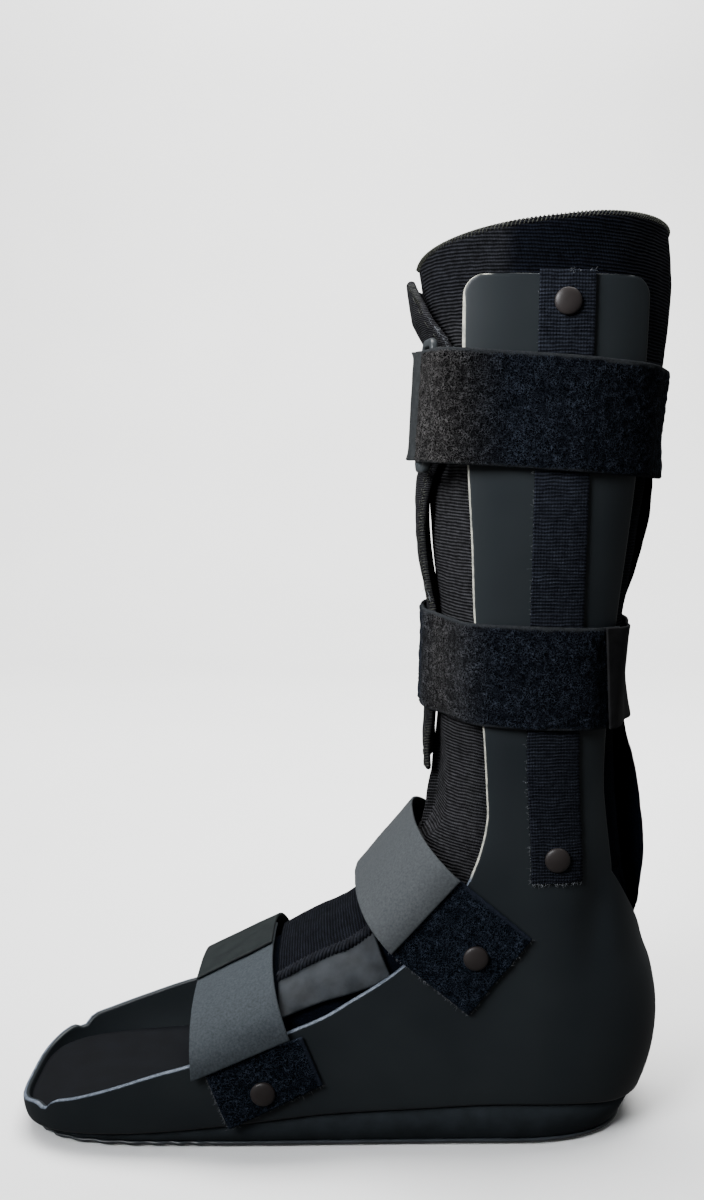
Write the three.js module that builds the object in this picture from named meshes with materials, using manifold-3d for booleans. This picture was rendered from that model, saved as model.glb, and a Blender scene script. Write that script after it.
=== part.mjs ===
// Medical walking boot: a moulded shell with two uprights, a foam liner, and pile and hook straps.
// Millimetres. +Z is up, -X is the toe, +X the heel, -Y the near side. The origin is on the floor,
// midway along and across the boot.
import * as THREE from 'three';
import * as BufferGeometryUtils from 'three/addons/utils/BufferGeometryUtils.js';
import Module from 'manifold-3d';

const wasm = await Module();
wasm.setup();

// Sizes of the moulded shell
const footLength = 327;
const ballWidth = 108;
const heelWidth = 103;
const calfWidth = 135;
const uprightTop = 418;
const cupTop = 94;
const shellWall = 3;
const shellEdge = 2;
const uprightCorner = 9;
const dentDepth = 3.5;
const notchDepth = 4;

// Sizes of the sole
const outsoleThickness = 3.5;
const outsoleInset = 4;
const blockTop = 24;
const insoleThickness = 4;

// Sizes of the liner and its flaps
const linerRise = 13;
const linerSlope = 13;
const linerArch = 7;
const linerWall = 8;
const flapThickness = 3.5;
const tongueThickness = 3;
const instepFlapThickness = 2.5;

// Sizes of the straps, strips and patches
const strapThickness = 2.2;
const tabThickness = 1.6;
const upperStrapWidth = 51;
const lowerStrapWidth = 49;
const patchThickness = 2.2;
const stripWidth = 25;
const stripThickness = 1.4;
const stripFoot = 137;

// Sizes of the ring and the rivets
const ringHeight = 62;
const ringWidth = 19;
const ringBar = 4;
const ringDepth = 3.5;
const rivetHead = 12;
const rivetRise = 2.4;
const rivetShank = 4.8;

// Clearances: between touching pieces, under a wrapped strap, and round a rivet's shank
const gap = 0.4;
const lay = 0.7;
const holeGap = 0.3;

// How square the toe and heel are: the power of their outline
const toePower = 3.6;
const heelPower = 2.5;

const halfLength = footLength / 2;
const centreX = 0.58 * halfLength;

// Level sections of the shell's outside. level is a share of uprightTop. toe, toeCap, heelCap and
// heel are shares of halfLength. rear is a share of half the heelWidth, ball a share of what the
// ball adds to it, and calf a share of what the calf adds.
const shellSections = {
  keys: ['level', 'toe', 'toeCap', 'heelCap', 'heel', 'rear', 'ball', 'calf'],
  rows: [
    [0.0, -0.945, -0.46, 0.49, 0.89, 0.88, 1.0, 0.0],
    [0.019, -0.99, -0.46, 0.49, 0.915, 0.93, 1.0, 0.0],
    [0.053, -1.0, -0.46, 0.49, 0.96, 0.98, 1.0, 0.0],
    [0.096, -1.0, -0.46, 0.49, 0.992, 1.0, 1.0, 0.0],
    [0.145, -1.0, -0.46, 0.49, 1.0, 1.0, 1.0, 0.0],
    [0.196, -0.9, -0.46, 0.49, 0.978, 1.0, 0.9, 0.0],
    [0.225, -0.8, -0.46, 0.5, 0.95, 1.0, 0.8, 0.0],
    [0.268, -0.4, -0.1, 0.52, 0.925, 1.0, 0.5, 0.0],
    [0.306, 0.0, 0.25, 0.54, 0.905, 1.0, 0.2, 0.0],
    [0.359, 0.24, 0.52, 0.56, 0.885, 1.0, 0.0, 0.0],
    [0.431, 0.29, 0.56, 0.56, 0.865, 1.0, 0.0, 0.03],
    [0.498, 0.28, 0.56, 0.56, 0.86, 1.0, 0.0, 0.15],
    [0.627, 0.25, 0.56, 0.56, 0.88, 1.0, 0.0, 0.375],
    [0.785, 0.215, 0.56, 0.56, 0.93, 1.0, 0.0, 0.7],
    [0.945, 0.18, 0.56, 0.56, 0.98, 1.0, 0.0, 0.96],
    [1.08, 0.17, 0.56, 0.56, 0.99, 1.0, 0.0, 1.04],
  ],
};

// The shell's cut edge along the foot: along is a share of halfLength, level of uprightTop.
const footRim = {
  keys: ['along', 'level'],
  rows: [
    [-1.0, 0.038], [-0.95, 0.048], [-0.86, 0.06], [-0.795, 0.067], [-0.67, 0.083], [-0.55, 0.099],
    [-0.46, 0.109], [-0.245, 0.136], [-0.12, 0.156], [-0.04, 0.17], [0.03, 0.187], [0.116, 0.208],
    [0.19, 0.23], [0.275, 0.263], [0.335, 0.297], [0.379, 0.331],
  ],
};

// The uprights' front and back edges: level is a share of uprightTop, the others of halfLength.
const uprightEdges = {
  keys: ['level', 'front', 'back'],
  rows: [
    [0.331, 0.379, 0.813], [0.364, 0.41, 0.8], [0.4, 0.428, 0.787], [0.435, 0.425, 0.777],
    [0.488, 0.416, 0.777], [0.557, 0.4, 0.783], [0.637, 0.38, 0.8], [0.713, 0.37, 0.82],
    [0.797, 0.355, 0.838], [0.921, 0.336, 0.85], [1.0, 0.336, 0.852],
  ],
};

// The top of the sole block: along is a share of halfLength, height of blockTop.
const blockProfile = {
  keys: ['along', 'height'],
  rows: [
    [-1.0, 0.25], [-0.7, 0.33], [-0.54, 0.4], [-0.31, 0.58], [-0.05, 0.81], [0.24, 0.92],
    [0.48, 1.0], [0.67, 0.94], [0.81, 0.8], [1.0, 0.7],
  ],
};

// Sections of the liner from the toe mouth to the rim, each between a point in front or on top and
// a point behind or below. x is a share of halfLength and z of uprightTop. square is the power of
// the outline at the back or sole.
const linerSections = {
  keys: ['at', 'frontX', 'frontZ', 'backX', 'backZ', 'square'],
  rows: [
    [0, -0.44, 0.147, -0.44, 0.043, 3.6],
    [1, -0.31, 0.174, -0.31, 0.053, 3.6],
    [2, -0.19, 0.204, -0.15, 0.064, 3.6],
    [3, -0.08, 0.23, 0.0, 0.07, 3.6],
    [4, 0.03, 0.252, 0.2, 0.075, 3.4],
    [5, 0.13, 0.29, 0.45, 0.078, 3.2],
    [6, 0.2, 0.326, 0.72, 0.08, 2.9],
    [7, 0.243, 0.353, 0.93, 0.105, 2.6],
    [8, 0.26, 0.377, 0.955, 0.16, 2.4],
    [9, 0.268, 0.401, 0.925, 0.215, 2.3],
    [10, 0.278, 0.425, 0.945, 0.275, 2.2],
    [11, 0.286, 0.45, 0.955, 0.35, 2.1],
    [12, 0.292, 0.475, 0.93, 0.43, 2.0],
    [13, 0.297, 0.5, 0.887, 0.49, 2.0],
    [14, 0.3, 0.56, 0.864, 0.56, 2.0],
    [15, 0.303, 0.625, 0.87, 0.625, 2.0],
    [16, 0.287, 0.68, 0.908, 0.68, 2.0],
    [17, 0.276, 0.735, 0.94, 0.735, 2.0],
    [18, 0.272, 0.785, 0.952, 0.785, 2.0],
    [19, 0.303, 0.84, 0.95, 0.84, 2.0],
    [20, 0.315, 0.9, 0.965, 0.9, 2.0],
    [21, 0.258, 0.96, 0.985, 0.96, 2.0],
    [22, 0.228, 1.0, 0.972, 1.0, 2.0],
  ],
};
const linerRimAt = 22;

// The front flap: level is a share of uprightTop, front a share of halfLength, and free and sewn
// are shares of half the calfWidth, at the near free edge and the far sewn edge.
const flapSections = {
  keys: ['level', 'front', 'free', 'sewn'],
  rows: [
    [0.432, 0.262, -0.1, 0.5], [0.464, 0.257, -0.14, 0.5], [0.5, 0.263, -0.2, 0.5],
    [0.56, 0.268, -0.28, 0.5], [0.63, 0.27, -0.2, 0.5], [0.656, 0.256, -0.2, 0.5],
    [0.7, 0.238, -0.22, 0.5], [0.735, 0.231, -0.26, 0.5], [0.785, 0.235, -0.4, 0.5],
    [0.84, 0.275, -0.52, 0.5], [0.9, 0.288, -0.56, 0.5], [0.938, 0.256, -0.52, 0.5],
    [0.964, 0.222, -0.44, 0.5], [0.985, 0.21, -0.34, 0.5], [1.012, 0.2, -0.12, 0.5],
  ],
};

// Finishes
const finish = (color, roughness, metalness = 0) =>
  new THREE.MeshStandardMaterial({ color, roughness, metalness });
const finishes = {
  shell: finish(0x1b2022, 0.42),
  insole: finish(0x1d232b, 0.55),
  block: finish(0x15191b, 0.55),
  outsole: finish(0x0c0e0f, 0.35),
  knit: finish(0x1c1b1d, 0.95),
  smooth: finish(0x2b2f34, 0.8),
  pile: finish(0x101420, 1.0),
  tab: finish(0x4b525a, 0.75),
  ribbed: finish(0x161a20, 0.9),
  ring: finish(0x2f373d, 0.35),
  rivet: finish(0x3c3a38, 0.35, 0.7),
};

const boot = new THREE.Group();

function addPiece(name, geometry, material) {
  const mesh = new THREE.Mesh(geometry, material);
  mesh.name = name;
  boot.add(mesh);
  return mesh;
}

// Numbers and tables

const mix = (a, b, t) => a + (b - a) * t;
const clamp = (value, low, high) => Math.min(high, Math.max(low, value));
const ease = (t) => t * t * (3 - 2 * t);

// A smooth curve through a table's column, straight on past its ends.
function read(table, column, at) {
  const c = table.keys.indexOf(column);
  const rows = table.rows;
  const last = rows.length - 1;
  let i = 0;
  while (i < last - 1 && at > rows[i + 1][0]) i += 1;
  const slope = (k) => {
    const a = rows[Math.max(0, k - 1)];
    const b = rows[Math.min(last, k + 1)];
    return (b[c] - a[c]) / (b[0] - a[0]);
  };
  const step = rows[i + 1][0] - rows[i][0];
  const t = (at - rows[i][0]) / step;
  if (t < 0) return rows[i][c] + slope(i) * step * t;
  if (t > 1) return rows[i + 1][c] + slope(i + 1) * step * (t - 1);
  const before = slope(i) * step;
  const after = slope(i + 1) * step;
  return (
    rows[i][c] * (1 + 2 * t) * (1 - t) ** 2 + before * t * (1 - t) ** 2
    + rows[i + 1][c] * t * t * (3 - 2 * t) + after * t * t * (t - 1)
  );
}

// Walls and solids

// A wall between an outer and an inner skin that share one pattern of quads. Edges that only one
// quad has are closed from skin to skin.
class Wall {
  constructor() {
    this.ids = new Map();
    this.outer = [];
    this.inner = [];
    this.triangles = [];
  }

  point(key, outer, inner) {
    if (!this.ids.has(key)) {
      this.ids.set(key, this.outer.length);
      this.outer.push(outer);
      this.inner.push(inner);
    }
    return this.ids.get(key);
  }

  triangle(a, b, c) {
    if (a !== b && b !== c && c !== a) this.triangles.push([a, b, c]);
  }

  quad(a, b, c, d) {
    this.triangle(a, b, c);
    this.triangle(a, c, d);
  }

  geometry() {
    const count = this.outer.length;
    const faces = this.triangles.flatMap(([a, b, c]) => [[a, b, c], [count + a, count + c, count + b]]);
    const edges = new Map();
    for (const [a, b, c] of this.triangles) {
      for (const [from, to] of [[a, b], [b, c], [c, a]]) edges.set(`${from}>${to}`, [from, to]);
    }
    for (const [from, to] of edges.values()) {
      if (edges.has(`${to}>${from}`)) continue;
      faces.push([to, from, count + from], [to, count + from, count + to]);
    }
    return closedGeometry([...this.outer, ...this.inner], faces);
  }
}

// A geometry from points and triangles, with its faces turned outwards.
function closedGeometry(points, faces) {
  let volume = 0;
  for (const [a, b, c] of faces) {
    const [p, q, r] = [points[a], points[b], points[c]];
    volume += p[0] * (q[1] * r[2] - q[2] * r[1]) - p[1] * (q[0] * r[2] - q[2] * r[0])
      + p[2] * (q[0] * r[1] - q[1] * r[0]);
  }
  const geometry = new THREE.BufferGeometry();
  geometry.setAttribute('position', new THREE.Float32BufferAttribute(points.flat(), 3));
  geometry.setIndex(faces.flatMap(([a, b, c]) => (volume > 0 ? [a, b, c] : [a, c, b])));
  geometry.computeVertexNormals();
  return geometry;
}

// A wall over a grid of rows and columns. outer and inner give a point for a row and a column.
function gridWall(rows, columns, outer, inner, closed = false) {
  const wall = new Wall();
  const wrap = (c) => (closed ? c % columns : c);
  const at = (r, c) => wall.point(`${r},${wrap(c)}`, outer(r, wrap(c)), inner(r, wrap(c)));
  const across = closed ? columns : columns - 1;
  for (let r = 0; r + 1 < rows; r += 1) {
    for (let c = 0; c < across; c += 1) wall.quad(at(r, c), at(r, c + 1), at(r + 1, c + 1), at(r + 1, c));
  }
  return wall.geometry();
}

function toSolid(geometry) {
  const bare = geometry.clone();
  bare.deleteAttribute('normal');
  bare.deleteAttribute('uv');
  const merged = BufferGeometryUtils.mergeVertices(bare, 1e-4);
  return new wasm.Manifold(new wasm.Mesh({
    numProp: 3,
    vertProperties: new Float32Array(merged.attributes.position.array),
    triVerts: new Uint32Array(merged.index.array),
  }));
}

function toGeometry(solid) {
  const mesh = solid.getMesh();
  const geometry = new THREE.BufferGeometry();
  geometry.setAttribute('position', new THREE.BufferAttribute(mesh.vertProperties, 3));
  geometry.setIndex(new THREE.BufferAttribute(mesh.triVerts, 1));
  geometry.computeVertexNormals();
  return geometry;
}

const cut = (geometry, tools) =>
  toGeometry(tools.reduce((solid, tool) => solid.subtract(toSolid(tool)), toSolid(geometry)));

// The shell's form

function sectionAt(z) {
  const level = z / uprightTop;
  const rear = (read(shellSections, 'rear', level) * heelWidth) / 2
    + (read(shellSections, 'calf', level) * (calfWidth - heelWidth)) / 2;
  return {
    toe: read(shellSections, 'toe', level) * halfLength,
    toeCap: read(shellSections, 'toeCap', level) * halfLength,
    heelCap: read(shellSections, 'heelCap', level) * halfLength,
    heel: read(shellSections, 'heel', level) * halfLength,
    rear,
    ball: rear + (read(shellSections, 'ball', level) * (ballWidth - heelWidth)) / 2,
  };
}

// The soft hollow behind the ankle, where the heel cup runs into the upright.
const dentX = 0.76 * halfLength;
const dentZ = 0.285 * uprightTop;
const dentHalfLength = 0.055 * halfLength;
const dentHalfHeight = 0.06 * uprightTop;

function dent(x, z) {
  return dentDepth * Math.exp(-(((x - dentX) / dentHalfLength) ** 2) - ((z - dentZ) / dentHalfHeight) ** 2);
}

// Half the boot's width at a place along it and a height, measured inset from the outside.
function halfWidth(x, z, inset = 0) {
  const s = sectionAt(z);
  const cap = (half, from, end, power) =>
    (half - inset) * (1 - clamp((x - from) / (end - from), 0, 1) ** power) ** (1 / power);
  let y;
  if (x < s.toeCap) y = cap(s.ball, s.toeCap, s.toe + inset, toePower);
  else if (x > s.heelCap) y = cap(s.rear, s.heelCap, s.heel - inset, heelPower);
  else y = mix(s.ball, s.rear, ease((x - s.toeCap) / Math.max(s.heelCap - s.toeCap, 1e-6))) - inset;
  return Math.max(0, y - dent(x, z));
}

const blockHeight = (x) => read(blockProfile, 'height', x / halfLength) * blockTop;
const edgeX = (z, side) => read(uprightEdges, side, z / uprightTop) * halfLength;
const splitLevel = uprightEdges.rows[0][0];
const splitZ = splitLevel * uprightTop;
const uprightFootX = uprightEdges.rows[0][1] * halfLength;

// Columns of half the outline, from the toe to the heel.
const toeColumns = 7;
const footColumns = 7;
const uprightColumns = 5;
const heelColumns = 5;
const uprightStart = toeColumns + footColumns;
const uprightEnd = uprightStart + uprightColumns;
const lastColumn = uprightEnd + heelColumns;
const toeCapX = shellSections.rows[0][2] * halfLength;

function heelAngle() {
  const s = sectionAt(splitZ);
  const share = (edgeX(splitZ, 'back') - s.heelCap) / (s.heel - s.heelCap);
  return Math.acos(share ** (heelPower / 2));
}
const heelStart = heelAngle();

// A point of half the outline: [x, y] for a column, a height and an inset.
function outline(column, z, inset) {
  const s = sectionAt(z);
  if (column < toeColumns) {
    const angle = (Math.PI / 2) * (column / toeColumns);
    const x = s.toeCap - (s.toeCap - s.toe - inset) * Math.cos(angle) ** (2 / toePower);
    return [x, (s.ball - inset) * Math.sin(angle) ** (2 / toePower)];
  }
  if (column <= uprightStart) {
    const x = mix(toeCapX, uprightFootX, (column - toeColumns) / footColumns);
    return [x, halfWidth(x, z, inset)];
  }
  const angle = heelStart * (column < uprightEnd ? 1 : (lastColumn - column) / heelColumns);
  const backX = s.heelCap + (s.heel - inset - s.heelCap) * Math.cos(angle) ** (2 / heelPower);
  if (column < uprightEnd) {
    const x = mix(uprightFootX, backX, (column - uprightStart) / uprightColumns);
    return [x, halfWidth(x, z, inset)];
  }
  const y = (s.rear - inset) * Math.sin(angle) ** (2 / heelPower);
  return [backX, Math.max(0, y - (column === lastColumn ? 0 : dent(backX, z)))];
}

const notchX = -0.895 * halfLength;
const notchHalfLength = 0.02 * halfLength;

function footRimZ(x) {
  const notch = notchDepth * Math.exp(-(((x - notchX) / notchHalfLength) ** 2));
  return read(footRim, 'level', x / halfLength) * uprightTop - notch;
}

// The height of the shell's edge above a column.
function rimZ(column) {
  if (column <= uprightStart) return footRimZ(outline(column, 0.05 * uprightTop, 0)[0]);
  if (column <= uprightEnd) return splitZ;
  const angle = heelStart * ((lastColumn - column) / heelColumns);
  const across = (Math.sin(angle) / Math.sin(heelStart)) ** (2 / heelPower);
  return mix(cupTop, splitZ, across ** 1.6);
}

const wallRows = 6;
const edgeRows = [[0, 1], [0.3, 0.3], [1, 0]];

// The wall's height and its inset from the outline, for a column and a row from the sole up.
function wallRow(column, row, depth, grow) {
  const x = outline(column, 0, 0)[0];
  const low = blockHeight(x) + depth;
  const [up, inward] = row < edgeRows.length ? edgeRows[row] : [1, 0];
  const start = low + shellEdge * up;
  const rise = row < edgeRows.length ? 0 : (row - edgeRows.length + 1) / wallRows;
  return { z: mix(start, rimZ(column) + grow, rise), inset: depth + shellEdge * inward };
}

const lowerRows = edgeRows.length + wallRows;
const upperLevels = [0.08, 0.17, 0.27, 0.38, 0.5, 0.62, 0.74, 0.87];
const cornerAngles = [0, 30, 60, 90];

// Heights of the upright's rows, with how far its corners draw in.
function uprightRows(height) {
  const top = height - uprightCorner;
  const rows = upperLevels.map((share) => ({ z: mix(splitZ, top, share), draw: 0 }));
  for (const degrees of cornerAngles) {
    const angle = THREE.MathUtils.degToRad(degrees);
    rows.push({ z: top + uprightCorner * Math.sin(angle), draw: uprightCorner * (1 - Math.cos(angle)) });
  }
  return rows;
}

// The whole shell. grow adds a skin all over it, for cutting what presses against it.
function shellGeometry(grow = 0) {
  const [outerDepth, innerDepth] = [-grow, shellWall + grow];
  const wall = new Wall();
  const name = (column, side) => (column === 0 || column === lastColumn ? `${column}` : `${column}/${side}`);
  const lower = (column, row, side) => {
    const skin = (depth) => {
      const { z, inset } = wallRow(column, row, depth, grow);
      const [x, y] = outline(column, z, inset);
      return [x + (column === uprightEnd ? grow : 0), side * y, z];
    };
    return wall.point(`${name(column, side)},${row}`, skin(outerDepth), skin(innerDepth));
  };
  const upright = uprightRows(uprightTop + grow);
  const upper = (column, row, side) => {
    if (row === 0) return lower(column, lowerRows - 1, side);
    const { z, draw } = upright[row - 1];
    const share = (column - uprightStart) / uprightColumns;
    const x = mix(edgeX(z, 'front') + draw - grow, edgeX(z, 'back') - draw + grow, share);
    const skin = (depth) => [x, side * halfWidth(x, z, depth), z];
    return wall.point(`${name(column, side)},up${row}`, skin(outerDepth), skin(innerDepth));
  };
  for (const side of [-1, 1]) {
    const quad = (a, b, c, d) => (side < 0 ? wall.quad(a, b, c, d) : wall.quad(d, c, b, a));
    for (let column = 0; column < lastColumn; column += 1) {
      for (let row = 0; row + 1 < lowerRows; row += 1) {
        quad(lower(column, row, side), lower(column + 1, row, side),
          lower(column + 1, row + 1, side), lower(column, row + 1, side));
      }
    }
    for (let column = uprightStart; column < uprightEnd; column += 1) {
      for (let row = 0; row < upright.length; row += 1) {
        quad(upper(column, row, side), upper(column + 1, row, side),
          upper(column + 1, row + 1, side), upper(column, row + 1, side));
      }
    }
  }
  for (let column = 0; column < lastColumn; column += 1) {
    wall.quad(lower(column, 0, 1), lower(column + 1, 0, 1), lower(column + 1, 0, -1), lower(column, 0, -1));
  }
  return wall.geometry();
}

// Flat pieces of the sole, between a top and a bottom given by a height and an inset along the boot.
function solePiece(top, bottom) {
  const columns = lastColumn + 1;
  const skin = ({ height, inset }) => (row, column) => {
    const z = height(outline(column, 0, 0)[0]);
    const [x, y] = outline(column, z, inset);
    return [x, row === 0 ? -y : y, z];
  };
  const wall = new Wall();
  const [upper, lower] = [skin(top), skin(bottom)];
  const at = (row, column) => {
    const key = column === 0 || column === lastColumn ? `${column}` : `${row},${column}`;
    return wall.point(key, upper(row, column), lower(row, column));
  };
  for (let column = 0; column + 1 < columns; column += 1) {
    wall.quad(at(0, column), at(0, column + 1), at(1, column + 1), at(1, column));
  }
  return wall.geometry();
}

// The liner's form

// The shell's inside limits the liner where the shell stands: below its rim and between its edges.
const pastEdge = 4;

function shellLimit(x, y, z) {
  if (z > uprightTop) return Infinity;
  if (z > splitZ && x > edgeX(z, 'back') + pastEdge) return Infinity;
  const across = clamp(Math.abs(y) / halfWidth(edgeX(splitZ, 'back'), splitZ), 0, 1);
  const rim = mix(cupTop, splitZ, across ** 1.6) + pastEdge;
  if (z > rim && x > edgeX(splitZ, 'back') + pastEdge) return Infinity;
  return halfWidth(x, z, shellWall + lay);
}

// A point of the liner, for a place along its sections and an angle from its front round the near
// side to its back. grow moves it outwards, or inwards where it is negative.
function linerPoint(at, angle, grow) {
  const front = [read(linerSections, 'frontX', at) * halfLength, read(linerSections, 'frontZ', at) * uprightTop];
  const back = [read(linerSections, 'backX', at) * halfLength, read(linerSections, 'backZ', at) * uprightTop];
  const rim = ease(clamp(at - linerRimAt + 2, 0, 2) / 2);
  back[1] = Math.max(back[1], blockHeight(back[0]) + shellWall + insoleThickness + gap + lay);
  front[1] += rim * linerRise;
  back[1] += rim * (linerRise + linerSlope);
  const length = Math.hypot(back[0] - front[0], back[1] - front[1]);
  const along = [(back[0] - front[0]) / length, (back[1] - front[1]) / length];
  const middle = 0.52 * length;
  const side = halfWidth(front[0] + along[0] * middle, front[1] + along[1] * middle, shellWall + lay);
  const facesFront = Math.cos(angle) > 0;
  const power = facesFront ? 2.3 : read(linerSections, 'square', at);
  const reach = facesFront ? -(middle + grow) : length - middle + grow;
  const run = middle + reach * Math.abs(Math.cos(angle)) ** (2 / power);
  const wide = Math.abs(Math.sin(angle)) ** (2 / power);
  const x = front[0] + along[0] * run;
  const z = front[1] + along[1] * run + rim * linerArch * wide;
  const full = side * wide;
  const pressed = grow > 0 ? full : Math.min(full, shellLimit(x, full, z));
  const share = full > 0 ? pressed / full : 1;
  return [x, -Math.sign(Math.sin(angle)) * (side + grow) * wide * share, z];
}

const linerColumns = 24;
const linerSteps = [0, 1, 2, 2.5, 3, 3.5, 4, 4.5, 5, 6, 7, 8, 9, 10, 11, 12, 13, 14, 15, 16, 17, 18, 19, 20, 21, 21.5, 22];

function linerGeometry() {
  const point = (grow) => (row, column) =>
    linerPoint(linerSteps[row], (2 * Math.PI * column) / linerColumns, grow);
  return gridWall(linerSteps.length, linerColumns, point(0), point(-linerWall), true);
}

// A sheet that lies on the liner, over some places along it and between two angles.
const sheetColumns = 7;

function linerSheet(steps, start, end, thickness) {
  const skin = (depth) => (row, column) => {
    const angle = mix(start, end, column / (sheetColumns - 1));
    return linerPoint(steps[row], THREE.MathUtils.degToRad(angle), depth);
  };
  return gridWall(steps.length, sheetColumns, skin(lay + thickness), skin(lay));
}

// The front flap

const flapColumns = 8;

function flapPoint(level, share, depth) {
  const front = read(flapSections, 'front', level) * halfLength;
  const free = (read(flapSections, 'free', level) * calfWidth) / 2;
  const sewn = (read(flapSections, 'sewn', level) * calfWidth) / 2;
  const y = mix(free, sewn, share);
  const half = calfWidth / 2 - shellWall - depth;
  const round = (centreX - front - depth) * (1 - Math.abs(y / half) ** 2.3) ** (1 / 2.3);
  return [centreX - round, y, level * uprightTop];
}

function flapGeometry() {
  const levels = flapSections.rows.map((row) => row[0]);
  const skin = (depth) => (row, column) => flapPoint(levels[row], column / (flapColumns - 1), depth);
  return gridWall(levels.length, flapColumns, skin(0), skin(flapThickness));
}

// Straps round the calf

// Points of everything that a strap goes round at a height.
function underStrap(z) {
  const points = [];
  const steps = 24;
  for (const side of [-1, 1]) {
    for (let k = 0; k <= steps; k += 1) {
      const x = mix(edgeX(z, 'front'), edgeX(z, 'back'), k / steps);
      const onStrip = Math.abs(x - stripX(z)) < stripWidth / 2 + 1;
      points.push([x, side * (halfWidth(x, z) + (onStrip ? lay + stripThickness : 0))]);
    }
    for (let k = 0; k <= steps; k += 1) {
      const at = sectionOfLevel(z);
      const [x, y] = linerPoint(at, (Math.PI * k) / steps, 0);
      points.push([x, side * y]);
    }
  }
  for (let k = 0; k <= steps; k += 1) points.push(flapPoint(z / uprightTop, k / steps, 0).slice(0, 2));
  return points;
}

// The place along the liner whose level section is at a height.
function sectionOfLevel(z) {
  const rows = linerSections.rows;
  const level = z / uprightTop;
  for (let i = 13; i + 1 < rows.length; i += 1) {
    if (level <= rows[i + 1][2]) return i + (level - rows[i][2]) / (rows[i + 1][2] - rows[i][2]);
  }
  return rows.length - 1;
}

function convexHull(points) {
  const sorted = [...points].sort((a, b) => a[0] - b[0] || a[1] - b[1]);
  const turn = (o, a, b) => (a[0] - o[0]) * (b[1] - o[1]) - (a[1] - o[1]) * (b[0] - o[0]);
  const chain = (list) => {
    const kept = [];
    for (const p of list) {
      while (kept.length > 1 && turn(kept[kept.length - 2], kept[kept.length - 1], p) <= 0) kept.pop();
      kept.push(p);
    }
    return kept.slice(0, -1);
  };
  return [...chain(sorted), ...chain(sorted.reverse())];
}

// How far a hull reaches from the calf's centre. The angle starts at the front and goes round the
// near side.
function hullReach(hull, degrees) {
  const angle = THREE.MathUtils.degToRad(degrees);
  const [dx, dy] = [-Math.cos(angle), -Math.sin(angle)];
  let reach = 0;
  for (let i = 0; i < hull.length; i += 1) {
    const [a, b] = [hull[i], hull[(i + 1) % hull.length]];
    const [ex, ey] = [b[0] - a[0], b[1] - a[1]];
    const det = dx * ey - dy * ex;
    if (Math.abs(det) < 1e-9) continue;
    const [ax, ay] = [a[0] - centreX, a[1]];
    const distance = (ax * ey - ay * ex) / det;
    const share = (ax * dy - ay * dx) / det;
    if (share >= -1e-6 && share <= 1 + 1e-6) reach = Math.max(reach, distance);
  }
  return reach;
}

// A strap has a stop every few degrees, and clears each corner between its stops.
const stopStep = 8;
const halfStep = stopStep / 2;
const hulls = new Map();

function hullAt(z) {
  const key = Math.round(z * 10);
  if (!hulls.has(key)) hulls.set(key, convexHull(underStrap(z)));
  return hulls.get(key);
}

function wrapReach(z, degrees) {
  const reaches = spread(-halfStep, halfStep, 9).map((away) => hullReach(hullAt(z), degrees + away));
  return Math.max(...reaches) / Math.cos(THREE.MathUtils.degToRad(halfStep));
}

const aroundCalf = (degrees, reach, z) => {
  const angle = THREE.MathUtils.degToRad(degrees);
  return [centreX - reach * Math.cos(angle), -reach * Math.sin(angle), z];
};

// A band round the calf. Each stop has an angle and how far the band's two skins stand off what it
// wraps, or gives its own point for a height and a skin. levelAt gives the middle height for an
// angle, and slant turns the first stop's edge.
function band(stops, levelAt, width, slant = 0) {
  const rows = 4;
  const skin = (k) => (row, column) => {
    const share = row / (rows - 1);
    const { degrees, skins, fold } = stops[column];
    const turned = degrees + (column === 0 ? slant * (0.5 - share) : 0);
    const z = levelAt(turned) + (share - 0.5) * width;
    return fold ? fold(z, k) : aroundCalf(turned, wrapReach(z, turned) + skins[k], z);
  };
  return gridWall(rows, stops.length, skin(0), skin(1));
}

const spread = (from, to, count) =>
  Array.from({ length: count }, (_, k) => mix(from, to, k / (count - 1)));
const stopsBetween = (from, to) => spread(from, to, Math.round(Math.abs(to - from) / stopStep) + 1);

// Both straps slope down from the front to the back.
const tilt = (front, back) => (degrees) => mix(front, back, (1 - Math.cos(THREE.MathUtils.degToRad(degrees))) / 2);
const upperLevel = tilt(0.868 * uprightTop, 0.845 * uprightTop);
const lowerLevel = tilt(0.573 * uprightTop, 0.561 * uprightTop);

// The ring lies flat on the straps' tails, in a plane that nothing under it crosses. ringAcross is the
// way from its front bar to its rear bar, and ringOut the way out of it.
const ringDegrees = 37;
const barHold = Math.hypot(ringBar, ringDepth) / 2 + lay;
const barSpan = ringWidth - ringBar;
const ringOff = lay + strapThickness + barHold;
const ringLow = upperLevel(ringDegrees) - upperStrapWidth / 2;
const ringHigh = upperLevel(ringDegrees) + upperStrapWidth / 2;
const ringReach = hullReach(hullAt(upperLevel(ringDegrees)), ringDegrees);
const barDegrees = THREE.MathUtils.radToDeg(barSpan / 2 / ringReach);
const dot = (a, b) => a[0] * b[0] + a[1] * b[1];
const onHull = (z, degrees) => aroundCalf(degrees, hullReach(hullAt(z), degrees), z);

function ringDirection() {
  const z = upperLevel(ringDegrees);
  const [a, b] = [onHull(z, ringDegrees - barDegrees), onHull(z, ringDegrees + barDegrees)];
  const length = Math.hypot(b[0] - a[0], b[1] - a[1]);
  return [(b[0] - a[0]) / length, (b[1] - a[1]) / length];
}
const ringAcross = ringDirection();
const ringOut = [ringAcross[1], -ringAcross[0]];

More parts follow.
